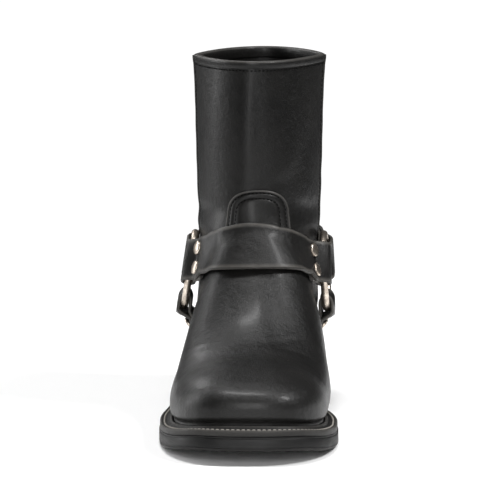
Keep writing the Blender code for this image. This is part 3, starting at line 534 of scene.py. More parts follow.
class Ring:
    """One harness ring: its centre, the outward normal and two directions in its plane."""

    along, forward_turn = 0.300, 0.03
    leans = {-1: 0.15, 1: 0.05}

    def __init__(self, side):
        normal = np.array([side, self.forward_turn, self.leans[side]])
        self.normal = normal / np.linalg.norm(normal)
        ahead = np.array([0.0, 1.0, 0.0]) - self.normal * self.normal[1]
        self.ahead = ahead / np.linalg.norm(ahead)
        rise = np.cross(self.normal, self.ahead)
        self.rise = rise if rise[2] > 0 else -rise
        place = np.array([[side * SHAFT_WIDTH * 0.45, OUTSOLE_LENGTH * self.along, RING_HEIGHT]])
        self.centre = onto_skin(place)[0]
        bare = STRAP_SEAT + WIRE_RADIUS
        for _ in range(8):
            circle = np.array([self.point(math.radians(a)) for a in range(0, 360, 15)])
            over_strap = np.array([a > 155 or a < 35 for a in range(0, 360, 15)])
            clear = skin(*circle.T) - bare - (STRAP_THICK + GAP) * over_strap
            self.centre = self.centre - self.normal * clear.min()

    def direction(self, turn):
        """A direction in the ring's plane, 0 to the toe and a quarter turn upwards."""
        return self.ahead * math.cos(turn) + self.rise * math.sin(turn)

    def point(self, turn):
        return self.centre + self.direction(turn) * RING_RADIUS

    def heading(self, tilt, forward):
        """The turn at which a strap leaves whose level plane climbs at tilt forwards."""
        across = np.array([0.0, -math.sin(tilt), math.cos(tilt)])
        turn = math.atan2(-self.ahead @ across, self.rise @ across)
        return turn if forward == (math.cos(turn) > 0) else turn + math.pi


def lap_row(ring, turn, away, lanes, layer, rivet_out):
    """One row of a strap's middle surface beside the ring, away from its wire: layer -1 is the
    under one, against the upper, and 1 the top one. Both lie down before the rivets."""
    out, side = ring.direction(turn), ring.direction(turn + math.pi / 2)
    down = rivet_out - RIVET_RADIUS * 0.7
    loose = 1 - ease((away - LOOP_DEEP) / (down - LOOP_DEEP))
    reach = RING_RADIUS + away
    reach = reach * (1 - loose) + np.sqrt(reach**2 - lanes**2) * loose
    flat = ring.centre + out * reach[:, None] + side * lanes[:, None]
    held = flat + ring.normal * layer * LOOP_HEIGHT
    rest = STRAP_SEAT + STRAP_THICK / 2 + (layer > 0) * (STRAP_THICK + FOLD_GAP)
    return held * loose + onto_skin(flat, rest) * (1 - loose)


def lap_grid(ring, turn, width, rivet_out, layer):
    """A lap's lanes, its rows' distances from the wire and the rows themselves, outwards."""
    lanes = np.linspace(-width / 2, width / 2, LANES)
    aways = np.linspace(LOOP_DEEP, rivet_out + LAP_END, LAP_ROWS)
    rows = [lap_row(ring, turn, away, lanes, layer, rivet_out) for away in aways]
    return lanes, aways, np.array(rows)


def loop_rows(ring, turn, width, rivet_out):
    """Rows of a strap's middle surface from its under end, round the wire, to the lap's end."""
    out, side = ring.direction(turn), ring.direction(turn + math.pi / 2)
    lanes, _, under = lap_grid(ring, turn, width, rivet_out, -1)
    folds = []
    for fold in np.linspace(-math.pi / 2, -3 * math.pi / 2, FOLD_STEPS):
        reach = np.sqrt((RING_RADIUS + LOOP_DEEP * math.cos(fold)) ** 2 - lanes**2)
        row = ring.centre + out * reach[:, None] + side * lanes[:, None]
        folds.append(row + ring.normal * LOOP_HEIGHT * math.sin(fold))
    top = lap_grid(ring, turn, width, rivet_out, 1)[2]
    return np.concatenate([under[::-1], folds, top])


def run_rows(rings, tilt, forward, width, steps):
    """Rows of the middle surface of a strap that goes round the boot from ring to ring."""
    origin = (rings[0].centre + rings[1].centre) / 2
    sign = 1 if forward else -1
    ahead = np.array([0.0, sign * math.cos(tilt), sign * math.sin(tilt)])
    ends = []
    for ring in rings:
        out = ring.direction(ring.heading(tilt, forward))
        end = ring.centre + out * (RING_RADIUS + GIRTH_RIVET_OUT + LAP_END)
        end = onto_skin(end)[0] - origin
        turn = math.atan2(end[0], end @ ahead)
        ends.append(turn - math.copysign(RUN_START / np.linalg.norm(end), turn))
    turns = np.linspace(ends[0], ends[1], steps)
    rays = np.stack([[math.sin(t), 0, 0] + ahead * math.cos(t) for t in turns])
    near, _ = crossing(
        lambda reach: (skin(*(origin + rays * reach).T) > 0)[:, None],
        np.zeros((steps, 1)), np.full((steps, 1), SHAFT_DEPTH), HALVINGS,
    )
    line = origin + rays * near
    along = np.gradient(line, axis=0)
    across = np.cross(along, slope(line))
    across /= np.linalg.norm(across, axis=1, keepdims=True) * np.sign(across[:, 2:])
    lanes = np.linspace(-0.5, 0.5, LANES)
    widths = STRAP_WIDTH + (width - STRAP_WIDTH) * np.sin(np.linspace(0, math.pi, steps)) ** 0.7
    ends = np.minimum(
        np.linalg.norm(line - line[0], axis=1), np.linalg.norm(line - line[-1], axis=1)
    )
    doubled = 1 - ease((ends + 6 * MM) / (STEP_DOWN + 6 * MM))
    rows = []
    for place, way, wide, double in zip(line, across, widths, doubled):
        lift = STRAP_SEAT + STRAP_THICK / 2 + (STRAP_THICK + FOLD_GAP) * double
        if forward:
            lift += TAB_STEP * ease((TAB_WIDTH * 0.75 - abs(place[0])) / (8 * MM))
        rows.append(onto_skin(place + way * (lanes * wide)[:, None], lift))
    return np.array(rows)


def facing(rows, run):
    """The rows with their lanes in the same order, bottom to top, as the run's."""
    same = (rows[0, -1, 2] > rows[0, 0, 2]) == (run[0, -1, 2] > run[0, 0, 2])
    return rows if same else rows[:, ::-1]


# Soft troughs (below 0) and ridges of the shaft, seen from the front (face 1) or back (-1):
# the middle, the turn of the long axis from level, its half-length, half-width and depth, in mm.
SHAFT_FOLDS = columns(
    "face", "x", "z", "turn", "long", "wide", "depth",
    rows=[
        (1, -7, 178, 88, 50, 5.0, 0.75),
        (1, 4, 172, 92, 44, 6.0, -0.60),
        (1, -24, 150, 84, 34, 7.0, -0.45),
        (1, 19, 158, 60, 16, 8.0, 0.80),
        (1, 29, 166, 70, 20, 6.0, -0.70),
        (1, 12, 148, 20, 14, 5.0, -0.50),
        (1, -35, 128, 15, 16, 5.0, -0.90),
        (1, -30, 119, 10, 14, 4.0, 0.50),
        (1, 35, 129, -18, 15, 5.0, -0.90),
        (1, 31, 119, -12, 14, 4.0, 0.50),
        (-1, 0, 146, 2, 34, 6.0, -0.90),
        (-1, -6, 132, -6, 30, 5.0, -1.00),
        (-1, 10, 139, 8, 24, 4.5, 0.70),
        (-1, 22, 176, 80, 40, 7.0, -0.50),
        (-1, -20, 184, 96, 36, 7.0, 0.50),
    ],
)
# The same for the vamp, seen from above: x and the distance forward from the sole's back.
VAMP_FOLDS = columns(
    "x", "s", "turn", "long", "wide", "depth",
    rows=[
        (0, 236, 0, 34, 3.4, -0.40),
        (12, 229, 5, 20, 2.4, -0.32),
        (26, 221, -12, 15, 2.2, -0.42),
        (-18, 224, 9, 16, 2.2, -0.30),
        (29, 209, -24, 13, 2.1, -0.46),
        (21, 214, -16, 11, 2.0, 0.30),
        (24, 200, -30, 12, 2.1, -0.40),
        (16, 206, -14, 11, 2.0, -0.30),
        (33, 196, -38, 12, 2.2, 0.35),
        (-27, 208, 22, 13, 2.2, -0.36),
        (-33, 198, 34, 12, 2.2, -0.30),
        (3, 217, 3, 18, 2.4, 0.22),
        (38, 226, -40, 12, 2.4, -0.45),
        (-39, 228, 38, 12, 2.4, -0.40),
        (2, 184, 82, 30, 9.0, 0.40),
        (20, 182, 76, 28, 8.0, 0.42),
        (11, 184, 79, 26, 5.0, -0.42),
        (-16, 180, 96, 26, 8.0, -0.30),
    ],
)


def trough(across_a, across_b, turn, long, wide):
    """A soft oval bump of height 1 about the origin of two coordinates, in mm."""
    a, b = math.cos(math.radians(turn)), math.sin(math.radians(turn))
    along = (across_a * a + across_b * b) / long
    aside = (across_b * a - across_a * b) / wide
    return np.exp(-(along**2) - aside**2)


def creases(points):
    """How far the worn leather stands out of (above 0) or in from the last's form, in metres."""
    x, s, z = points[..., 0] / MM, points[..., 1] / MM, points[..., 2] / MM
    seam = OUTSOLE_LENGTH * SEAM_ALONG / MM
    total = np.zeros_like(x)
    for face, fx, fz, turn, long, wide, depth in zip(*SHAFT_FOLDS.values()):
        facing_side = ease(((s - seam) * face + 6) / 14)
        total += depth * trough(x - fx, z - fz, turn, long, wide) * facing_side
    low = ease((112 - z) / 16)
    for fx, fs, turn, long, wide, depth in zip(*VAMP_FOLDS.values()):
        total += depth * trough(x - fx, s - fs, turn, long, wide) * low
    drift = (
        np.sin(x / 13.0 + 0.7 * np.sin(z / 21.0) + s / 31.0)
        + np.sin(z / 17.0 - x / 23.0 + 1.3)
        + np.sin(s / 15.0 + z / 29.0 + 0.4 + x / 40.0)
    )
    total += drift * 0.09
    held = ease((z - bottom_edge(points[..., 1]) / MM - 3) / 9)
    return total * held * MM


def add_object(name, data):
    made = bpy.data.objects.new(name, data)
    bpy.context.scene.collection.objects.link(made)
    return made


def plain_mesh(name, points, faces, material, sharp=40, edge=None):
    """A smooth piece from points in the model's inner coordinates, riding on the boot. edge is how
    far each point is painted towards the paler colour: rubbed wear, and painted highlights on rims
    and crests."""
    mesh = bpy.data.meshes.new(name)
    mesh.from_pydata([tuple(p) for p in to_world(points).reshape(-1, 3)], [], faces)
    if edge is not None:
        layer = mesh.attributes.new("edge", "FLOAT", "POINT")
        layer.data.foreach_set("value", np.asarray(edge, np.float32).ravel())
    work = bmesh.new()
    work.from_mesh(mesh)
    bmesh.ops.recalc_face_normals(work, faces=work.faces)
    work.to_mesh(mesh)
    work.free()
    mesh.materials.append(material)
    made = add_object(name, mesh)
    mesh.shade_smooth()
    mesh.set_sharp_from_angle(angle=math.radians(sharp))
    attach(made, "root")
    return made


def ring_faces(rows, count):
    """Quads of a closed tube of closed loops."""
    size = rows * count
    return [tuple(i % size for i in face) for face in grid_faces(rows + 1, count)]


def capped(rows, count):
    """Quads between closed rows, and a face over each end."""
    faces = grid_faces(rows, count)
    faces.append(tuple(range(count))[::-1])
    faces.append(tuple((rows - 1) * count + c for c in range(count)))
    return faces


def unit(v):
    return v / np.linalg.norm(v, axis=-1, keepdims=True)


def make_upper(leather):
    """The creased upper: its outside, and a plainer inside of every third row."""
    outside = upper_grid(rows=168, front=84, side=34, back=52)
    shape = outside.shape
    normals = slope(outside.reshape(-1, 3)).reshape(shape)
    worn = outside + normals * creases(outside)[..., None]
    inside = (worn - normals * WALL)[::3]
    inside[-1, :, 2] = worn[-1, :, 2]
    shell = np.concatenate([worn, inside[::-1]])
    size = shell.shape[:2]
    upper = plain_mesh("upper_skin", shell, ring_faces(*size), leather, 60, np.zeros(size))
    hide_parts("upper")
    return worn, normals


def make_collar(worn, normals, leather):
    """The turned top edge: a band folded over the collar, as steps out and up in mm."""
    top = worn[0]
    flat = normals[4].copy()
    flat[:, 2] = 0
    flat = unit(flat)
    section = [
        (0.02, -4.4), (0.25, -4.1), (0.50, -3.6), (0.72, -3.0), (0.90, -2.2), (1.0, -1.4),
        (0.95, -0.6), (0.60, 0.15), (-0.1, 0.55), (-1.2, 0.65), (-2.3, 0.5), (-3.0, 0.0),
        (-3.35, -0.9), (-3.35, -3.0), (-3.3, -6.0), (-3.1, -6.8), (-2.7, -7.0),
    ]
    rows = np.array([top + flat * (out * MM) + np.array([0, 0, up * MM]) for out, up in section])
    # Paints a highlight along the top of the fold: the paler colour is strongest at its crest and
    # fades down both sides.
    lift = [max(0.0, 1 - abs(up - 0.3) / 1.3) for out, up in section]
    edge = np.repeat(np.array(lift)[:, None], rows.shape[1], 1)
    collar = plain_mesh("collar_fold", rows, ring_faces(*rows.shape[:2]), leather, 70, edge)
    return top, flat


def front_place(x, z):
    """The point of the skin straight ahead of (x, z), with the leather's creases."""
    x, z = np.asarray(x, float), np.asarray(z, float)
    seam = np.full_like(x, OUTSOLE_LENGTH * SEAM_ALONG)
    near, far = crossing(lambda s: skin(x, s, z) > 0, seam, seam + SHAFT_DEPTH, HALVINGS)
    points = np.stack([x, (near + far) / 2, z], -1)
    shape = points.shape
    normals = slope(points.reshape(-1, 3)).reshape(shape)
    return points + normals * creases(points)[..., None], normals


def inset(outline, distance):
    """An open outline moved inwards, towards its left-hand side."""
    outline = np.asarray(outline, float)
    way = unit(np.gradient(outline, axis=0))
    return outline + np.stack([-way[:, 1], way[:, 0]], -1) * distance


def distances(path):
    """How far along a path each of its points is."""
    return np.append(0, np.cumsum(np.linalg.norm(np.diff(path, axis=0), axis=1)))


def between(at, steps, values):
    """The rows of values at the distances at, where steps are the rows' own distances."""
    return np.stack([np.interp(at, steps, column) for column in values.T], -1)


def tab_path(distance):
    """The tab's outline seen from the front, moved in by a distance: straight sides that widen a
    little, and a rounded top."""
    half, shoulder = TAB_WIDTH / 2, TAB_TOP - TAB_WIDTH * TAB_SHOULDER
    low, foot = TAB_TOP - TAB_DEPTH, half * TAB_FLARE
    turn = np.linspace(0, math.pi, TAB_STEPS)
    x = half * np.sign(np.cos(turn)) * np.abs(np.cos(turn)) ** 0.8
    z = shoulder + (TAB_TOP - shoulder) * np.sin(turn) ** 0.9
    path = np.array([(foot, low)] + list(zip(x, z)) + [(-foot, low)])
    path[:, 0] += TAB_SHIFT
    steps = distances(path)
    return inset(between(np.linspace(0, steps[-1], 3 * TAB_STEPS), steps, path), distance)


def make_tab(leather, thread):
    """The tongue-shaped tab on the instep: a raised panel with two rows of stitching."""
    middle = np.array([TAB_SHIFT, TAB_TOP - TAB_DEPTH * 0.62])
    section = [
        (0, -0.3), (0, 0.95), (0.3, 1.45), (0.8, 1.6), (1.4, 1.45), (2.0, 0.75), (2.6, 1.35),
        (3.6, 1.55), (4.9, 1.35), (5.6, 0.75), (6.3, 1.3),
    ]
    outlines = [tab_path(distance * MM) for distance, lift in section]
    lifts = [lift for distance, lift in section]
    for share in (0.85, 0.65, 0.45, 0.25):
        outlines.append(middle + (outlines[len(section) - 1] - middle) * share)
        lifts.append(1.4)
    grids, edge = [], []
    for row, (flat, lift) in enumerate(zip(outlines[::-1], lifts[::-1])):
        points, normals = front_place(flat[:, 0], flat[:, 1])
        grids.append(points + normals * lift * MM)
        # Paints a highlight line along the crest of the tab's raised outer rim, in the paler
        # colour.
        edge.append(np.full(len(flat), float(row in (len(outlines) - 3, len(outlines) - 4))))
    centre, normal = front_place(middle[:1], middle[1:])
    points = np.concatenate([centre + normal * lifts[-1] * MM, np.concatenate(grids)])
    count, rows = len(grids[0]), len(grids)
    faces = [(0, 1 + c, 1 + c + 1) for c in range(count - 1)]
    faces += [tuple(i + 1 for i in face) for face in grid_faces(rows, count, wrap=False)]
    edges = np.concatenate([[0], np.concatenate(edge)])
    tab = plain_mesh("front_tab", points, faces, leather, 60, edges)
    for number, distance in enumerate((2.0 * MM, 5.6 * MM)):
        points, normals = front_place(*tab_path(distance).T)
        raised = points + normals * 1.05 * MM
        add_stitches(f"tab_stitches_{number + 1}", raised, normals, TAB_STITCH, thread)


def worn_line(guess):
    """The points brought onto the creased leather, a hair above it, and their normals."""
    line = onto_skin(guess)
    normals = slope(line)
    return line + normals * (creases(line)[:, None] + STITCH_LIFT), normals


def add_stitches(name, path, normals, stitch, thread, sink=STITCH_SINK):
    """A row of short stitches laid along a path on the leather, each a capsule of six sides."""
    pitch, length, radius = stitch
    steps = distances(path)
    starts = np.arange(pitch / 2, steps[-1] - length, pitch)
    sides = 6
    profile = [(-0.5, 0.15), (-0.42, 0.7), (-0.2, 1.0), (0.2, 1.0), (0.42, 0.7), (0.5, 0.15)]
    points, faces = [], []
    for start in starts:
        ends = between(start + length * np.array([0, 0.5, 1.0]), steps, path)
        up = unit(between(start, steps, normals))
        way = unit(ends[2] - ends[0])
        aside = unit(np.cross(way, up))
        up = np.cross(aside, way)
        base = len(points)
        for share, fat in profile:
            for k in range(sides):
                a = 2 * math.pi * k / sides
                points.append(
                    ends[1] + way * length * share - up * radius * sink
                    + (aside * math.cos(a) + up * math.sin(a)) * radius * fat
                )
        faces += [tuple(base + i for i in face) for face in capped(len(profile), sides)]
    made = plain_mesh(name, np.array(points), faces, thread)


def make_seams(leather, thread):
    """The corded side seams of the shaft, with a row of stitches beside each, and the plain
    stitched seam down the middle of the back."""
    for side, name in ((-1, "lateral"), (1, "medial")):
        heights = np.linspace(BOOT_HEIGHT - 0.3 * MM, SEAM_END - 8 * MM, 70)
        up = heights / BOOT_HEIGHT
        half = SHAFT_WIDTH * read(SHAFT, "half", "up", up)
        guess = np.stack(
            [side * half, np.full_like(half, OUTSOLE_LENGTH * SEAM_ALONG - side * SEAM_SKEW),
             heights], -1)
        line = onto_skin(guess)
        line = line + slope(line) * creases(line)[:, None]
        out = slope(line)
        ahead = unit(np.cross(out, [0, 0, 1]))
        fat = SEAM_RADIUS * (1 + 0.5 * ease((heights - BOOT_HEIGHT + 7 * MM) / (6 * MM)))
        fat = fat * (1 + 0.05 * np.sin(heights / (3.1 * MM)))
        turns = np.linspace(0, 2 * math.pi, 14, endpoint=False)
        sections = np.array([
            [p - o * SEAM_SINK * 0.6 + r * (o * math.cos(t) + a * math.sin(t)) for t in turns]
            for p, o, a, r in zip(line, out, ahead, fat)
        ])
        # Paints a highlight down the cord's outward-facing side, in the paler colour.
        edge = np.repeat(np.clip(np.cos(turns), 0, 1)[None], len(sections), 0) * 0.5
        faces = capped(*sections.shape[:2])
        cord = plain_mesh(f"seam_cord_{name}", sections, faces, leather, edge=edge)
        for row, face in ((1, -1), (2, 1)):
            beside, normals = worn_line(line + ahead * face * 3.0 * MM)
            label = f"seam_stitches_{name}_{row}"
            add_stitches(label, beside[5:], normals[5:], SEAM_STITCH, thread)
    heights = np.linspace(BOOT_HEIGHT - 7 * MM, SEAM_END, 60)
    for row, offset in ((1, -1.3 * MM), (2, 1.3 * MM)):
        guess = np.stack([np.full(60, offset), np.full(60, 18 * MM), heights], -1)
        add_stitches(f"back_seam_stitches_{row}", *worn_line(guess), SEAM_STITCH, thread)


def collar_stitches(top, flat, thread):
    path = top + flat * 0.35 * MM - np.array([0, 0, 5.6 * MM])
    path, normals = np.concatenate([path, path[:1]]), np.concatenate([flat, flat[:1]])
    add_stitches("collar_stitches", path, normals, COLLAR_STITCH, thread)


def rounded_sheet(middle, thick, width):
    """Closed sections of a strap with half-round edges, and how pale each point is painted: rubbed
    edges, brightest on their outer half as a painted highlight.
    """
    core = middle.mean(axis=1, keepdims=True)
    middle = core + (middle - core) * (1 - thick / width)
    along, across = np.gradient(middle, axis=0), np.gradient(middle, axis=1)
    normal, aside = unit(np.cross(along, across)), unit(across)

    def rim(point, out, up, turns):
        turns = [math.radians(turn) for turn in turns]
        return [point + thick / 2 * (out * math.cos(t) + up * math.sin(t)) for t in turns]

    rows, edges = [], []
    lanes = np.abs(np.linspace(-1, 1, middle.shape[1]))
    near = np.clip((lanes - 0.94) / 0.06, 0, 1) ** 2
    for m, n, a in zip(middle, normal, aside):
        loop = list(m + n * thick / 2) + rim(m[-1], a[-1], n[-1], (50, 15, -20, -55))
        loop += list(m[::-1] - n[::-1] * thick / 2) + rim(m[0], -a[0], n[0], (-55, -20, 15, 50))
        rows.append(loop)
        # Rubbed edges painted paler, the outer half of each rim more so as a painted highlight.
        edges.append(list(near) + [1, 1, 0.6, 0.3] + list(near[::-1]) + [0.3, 0.6, 1, 1])
    return np.array(rows), np.array(edges, float)


def add_strap(name, middle, width, leather):
    sections, edge = rounded_sheet(middle, STRAP_THICK, width)
    wear = 0.12 * np.sin(np.linspace(0, 19, len(sections)))[:, None, None]
    sections = sections + wear * MM * unit(sections - sections.mean(1, keepdims=True))
    faces = capped(*sections.shape[:2])
    strap = plain_mesh(f"{name}_leather", sections, faces, leather, 70, edge)
    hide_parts(name)


def add_rivet(name, place, normal, metal):
    sides = 28
    side = unit(np.cross(normal, [0, 0, 1]))
    rise = np.cross(side, normal)
    dome = [
        (0.80, -0.35), (0.98, -0.2), (1.0, 0.1), (1.0, 0.3), (0.96, 0.52), (0.88, 0.66),
        (0.78, 0.74), (0.62, 0.84), (0.42, 0.93), (0.2, 0.985), (0.04, 1.0),
    ]
    sections = np.array([
        [place + normal * RIVET_HEIGHT * height
         + RIVET_RADIUS * share * (side * math.cos(a) + rise * math.sin(a))
         for a in np.linspace(0, 2 * math.pi, sides, endpoint=False)]
        for share, height in dome
    ])
    made = plain_mesh(f"{name}_cap", sections, capped(*sections.shape[:2]), metal, sharp=60)
    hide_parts(name)


def add_rivets(name, ring, turn, out, seat, metal):
    lanes, aways, rows = lap_grid(ring, turn, STRAP_WIDTH, out, 1)

    def lap_point(away, lane):
        line = [[np.interp(lane, lanes, row[:, axis]) for axis in range(3)] for row in rows]
        return np.array([np.interp(away, aways, axis) for axis in np.transpose(line)])

    for number, offset in enumerate((-0.5, 0.5)):
        lane, reach = RIVET_SPREAD * offset, RIVET_RADIUS
        place = lap_point(out, lane)
        ahead = lap_point(out + reach, lane) - lap_point(out - reach, lane)
        aside = lap_point(out, lane + reach) - lap_point(out, lane - reach)
        normal = np.cross(ahead, aside)
        normal /= np.linalg.norm(normal) * np.sign(normal @ ring.normal)
        rim = [
            lap_point(out + reach * math.cos(turn), lane + reach * math.sin(turn))
            for turn in np.linspace(0, 2 * math.pi, 8, endpoint=False)
        ]
        high = max(float((point - place) @ normal) for point in rim + [place])
        place = place + normal * (STRAP_THICK / 2 + high + seat * 0.5)
        add_rivet(f"rivet_{name}_{number + 1}", place, normal, metal)


def make_ring(name, ring, metal):
    turns, sides = 120, 20
    sections = []
    for i in range(turns):
        a = 2 * math.pi * i / turns
        out = ring.direction(a)
        fat = WIRE_RADIUS * (1 + 0.012 * math.sin(5 * a) + 0.008 * math.sin(11 * a + 1))
        sections.append([
            ring.centre
            + out * (RING_RADIUS + fat * math.cos(2 * math.pi * k / sides))
            + ring.normal * fat * math.sin(2 * math.pi * k / sides)
            for k in range(sides)
        ])
    sections = np.array(sections)
    made = plain_mesh(f"{name}_metal", sections, ring_faces(turns, sides), metal)
    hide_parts(name)


def make_girth_strap(name, rings, height, forward, width, steps, leather, metal):
    along = OUTSOLE_LENGTH * Ring.along
    reach = OUTSOLE_LENGTH * INSTEP_ALONG - along if forward else along
    tilt = math.atan2((height - RING_HEIGHT) * (1 if forward else -1), reach)
    run = run_rows(rings, tilt, forward, width, steps)
    turns = [ring.heading(tilt, forward) for ring in rings]
    first, last = (
        loop_rows(ring, turn, STRAP_WIDTH, GIRTH_RIVET_OUT) for ring, turn in zip(rings, turns)
    )
    rows = np.concatenate([facing(first, run), run, facing(last, run)[::-1]])
    add_strap(f"{name}_strap", rows, STRAP_WIDTH, leather)
    for ring, turn, side in zip(rings, turns, ("lateral", "medial")):
        add_rivets(f"{name}_{side}", ring, turn, GIRTH_RIVET_OUT, GIRTH_RIVET_SEAT, metal)


def make_lower_strap(name, ring, leather, metal):
    turn = -math.pi / 2
    reach = RING_RADIUS + LOWER_RIVET_OUT + LAP_END + RUN_START
    start = ring.centre + ring.direction(turn) * reach
    lanes = np.linspace(-0.5, 0.5, LANES) * STRAP_WIDTH
    side = ring.direction(turn + math.pi / 2)
    rows = []
    for step in np.linspace(0, 1, 14):
        row = start + side * lanes[:, None]
        low = bottom_edge(row[:, 1]) + WELT_THICK + WELT_LIP_RISE + STRAP_SEAT
        row[:, 2] = start[2] + (low - start[2]) * step
        seated = onto_skin(row, STRAP_SEAT + STRAP_THICK / 2)
        seated[:, 2] = row[:, 2]
        rows.append(seated)
    rows = np.concatenate([loop_rows(ring, turn, STRAP_WIDTH, LOWER_RIVET_OUT), rows])
    add_strap(f"lower_strap_{name}", rows, STRAP_WIDTH, leather)
    add_rivets(f"lower_{name}", ring, turn, LOWER_RIVET_OUT, LOWER_RIVET_SEAT, metal)


def make_welt(leather, thread):
    """The storm welt: an inner bead, a stitched ledge and a rounded outer edge. The section is
    the share of the ledge, the step out from there and the height, in mm."""
    top, lip = WELT_THICK / MM, (WELT_THICK + WELT_LIP_RISE) / MM
    section = [
        (1, 0.6, 0.3), (1, 0.55, lip - 0.9), (1, 0.75, lip - 0.25), (1, 1.25, lip),
        (1, 1.85, lip - 0.2), (1, 2.4, lip - 0.8), (1, 2.75, top + 0.35), (1, 3.2, top - 0.15),
        (0.42, 0, top - 0.35), (0.30, 0, top - 0.30), (0, -1.9, top - 0.05),
        (0, -1.3, top + 0.02), (0, -0.85, top - 0.15), (0, -0.55, top - 0.6),
        (0, -0.5, top - 1.5), (0, -0.5, 0.7), (0, -0.8, 0.3),
    ]
    loops = []
    for ledge, grow, rise in section:
        loop = outline_loop(OUTLINE_PAIRS, ledge, grow * MM)
        loops.append(np.column_stack([loop, outsole_top(loop[:, 1]) + rise * MM]))
    loops = np.array(loops)
    # Paints highlight lines in the paler colour along the top of the bead and the rounded outer
    # edge.
    bright = [0, 0.3, 0.9, 1, 0.8, 0.4, 0, 0, 0, 0, 0.3, 0.8, 1, 0.8, 0.4, 0.2, 0]
    edge = np.repeat(np.array(bright, float)[:, None], loops.shape[1], 1)
    welt = plain_mesh("welt_strip", loops, ring_faces(*loops.shape[:2]), leather, 50, edge)
    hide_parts("welt")
    path = outline_loop(OUTLINE_PAIRS, 0.36, 0)
    path = np.column_stack([path, outsole_top(path[:, 1]) + WELT_THICK - 0.15 * MM])
    path = np.concatenate([path, path[:1]])
    normals = np.tile([0.0, 0.0, 1.0], (len(path), 1))
    # These stitches take the welt thread, whose pale colour is a painted highlight.
    add_stitches("welt_stitches", path, normals, WELT_STITCH, thread, WELT_STITCH_SINK)


def slab(name, profile, height, material):
    """A closed piece that follows the sole: each row of the profile is the share of the ledge,
    the step out and the share of the slab's height."""
    loops = []
    for ledge, grow, share in profile:
        loop = outline_loop(OUTLINE_PAIRS, ledge, grow)
        low, high = height(loop[:, 1])
        loops.append(np.column_stack([loop, low + (high - low) * share]))
    loops = np.array(loops)
    rows, total = loops.shape[:2]
    faces = grid_faces(rows, total)
    faces += [f[::-1] for f in ladder_faces(OUTLINE_PAIRS)]
    faces += ladder_faces(OUTLINE_PAIRS, (rows - 1) * total)
    return plain_mesh(name, loops, faces, material)


def make_outsole(rubber):
    step = 1 - OUTSOLE_STEP_DOWN / OUTSOLE_THICK
    groove = 0.25 * MM
    profile = [
        (0, -OUTSOLE_EDGE * 1.1, 0), (0, -OUTSOLE_EDGE * 0.55, 0.02),
        (0, -OUTSOLE_EDGE * 0.2, 0.07), (0, 0, 0.14), (0, 0, 0.19), (0, -groove, 0.205),
        (0, -groove, 0.235), (0, 0, 0.25), (0, 0, step - 0.03),
        (0, -OUTSOLE_STEP * 0.4, step + 0.02), (0, -OUTSOLE_STEP, step + 0.05),
        (0, -OUTSOLE_STEP, 1),
    ]
    sole = slab("outsole_rubber", profile, lambda s: (outsole_bottom(s), outsole_top(s)), rubber)
    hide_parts("outsole")


def make_insole(lining):
    inside = -WALL - INSOLE_CLEAR
    profile = [
        (1, inside - INSOLE_ROUND, 0), (1, inside, 0.2), (1, inside, 0.7),
        (1, inside - 1.0 * MM, 0.95), (1, inside - 4 * MM, 0.9),
    ]

    def height(s):
        return bottom_edge(s), bottom_edge(s) + INSOLE_THICK

    sock = slab("sock_lining", profile, height, lining)
    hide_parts("insole")


def heel_levels(levels, name, node, material):
    """A piece of the heel from levels of height, share of the heel's drop and step out."""
    loops = np.array([
        np.column_stack([heel_loop(HEEL_PAIRS, drop, grow), np.full(2 * HEEL_PAIRS + 3, z)])
        for z, drop, grow in levels
    ])
    made = plain_mesh(name, loops, capped(*loops.shape[:2]), material, sharp=50)
    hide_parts(node)


def make_heel(leather, rubber):
    top = outsole_bottom(0.0) - GAP
    low = HEEL_LIFT_THICK + GAP
    layer = (top - low) / HEEL_LAYERS

    def drop_at(z):
        return 1 - z / top

    levels = []
    for i in range(HEEL_LAYERS):
        z = low + layer * i
        cut = HEEL_GROOVE * 0.45
        for share, grow in ((0.0, -cut), (0.05, -0.1 * cut), (0.12, 0), (0.5, 0.1 * cut),
                            (0.88, 0), (0.95, -0.1 * cut), (0.999, -cut)):
            at = z + layer * share
            levels.append((at, drop_at(at), grow))
    heel_levels(levels, "heel_stack", "heel", leather)
    lift = [(0, 1, -GROUND_EDGE), (0.25 * MM, drop_at(0), -GROUND_EDGE * 0.35),
            (GROUND_EDGE, drop_at(GROUND_EDGE), 0),
            (HEEL_LIFT_THICK - 0.4 * MM, drop_at(HEEL_LIFT_THICK), 0),
            (HEEL_LIFT_THICK, drop_at(HEEL_LIFT_THICK), -0.3 * MM)]
    heel_levels(lift, "heel_top_lift", "heel_lift", rubber)


def counter_stitches(thread):
    """Two curved rows of stitching round the heel counter."""
    for number, drop in enumerate((0.0, 3.0)):
        turns = np.linspace(-1, 1, 160)
        angle = turns * math.radians(118)
        z = (70 - drop - 26 * np.abs(turns) ** 2.2) * MM
        guess = np.stack([np.sin(angle) * 36 * MM, (48 - 44 * np.cos(angle)) * MM, z], -1)
        add_stitches(f"counter_stitches_{number + 1}", *worn_line(guess), SEAM_STITCH, thread)


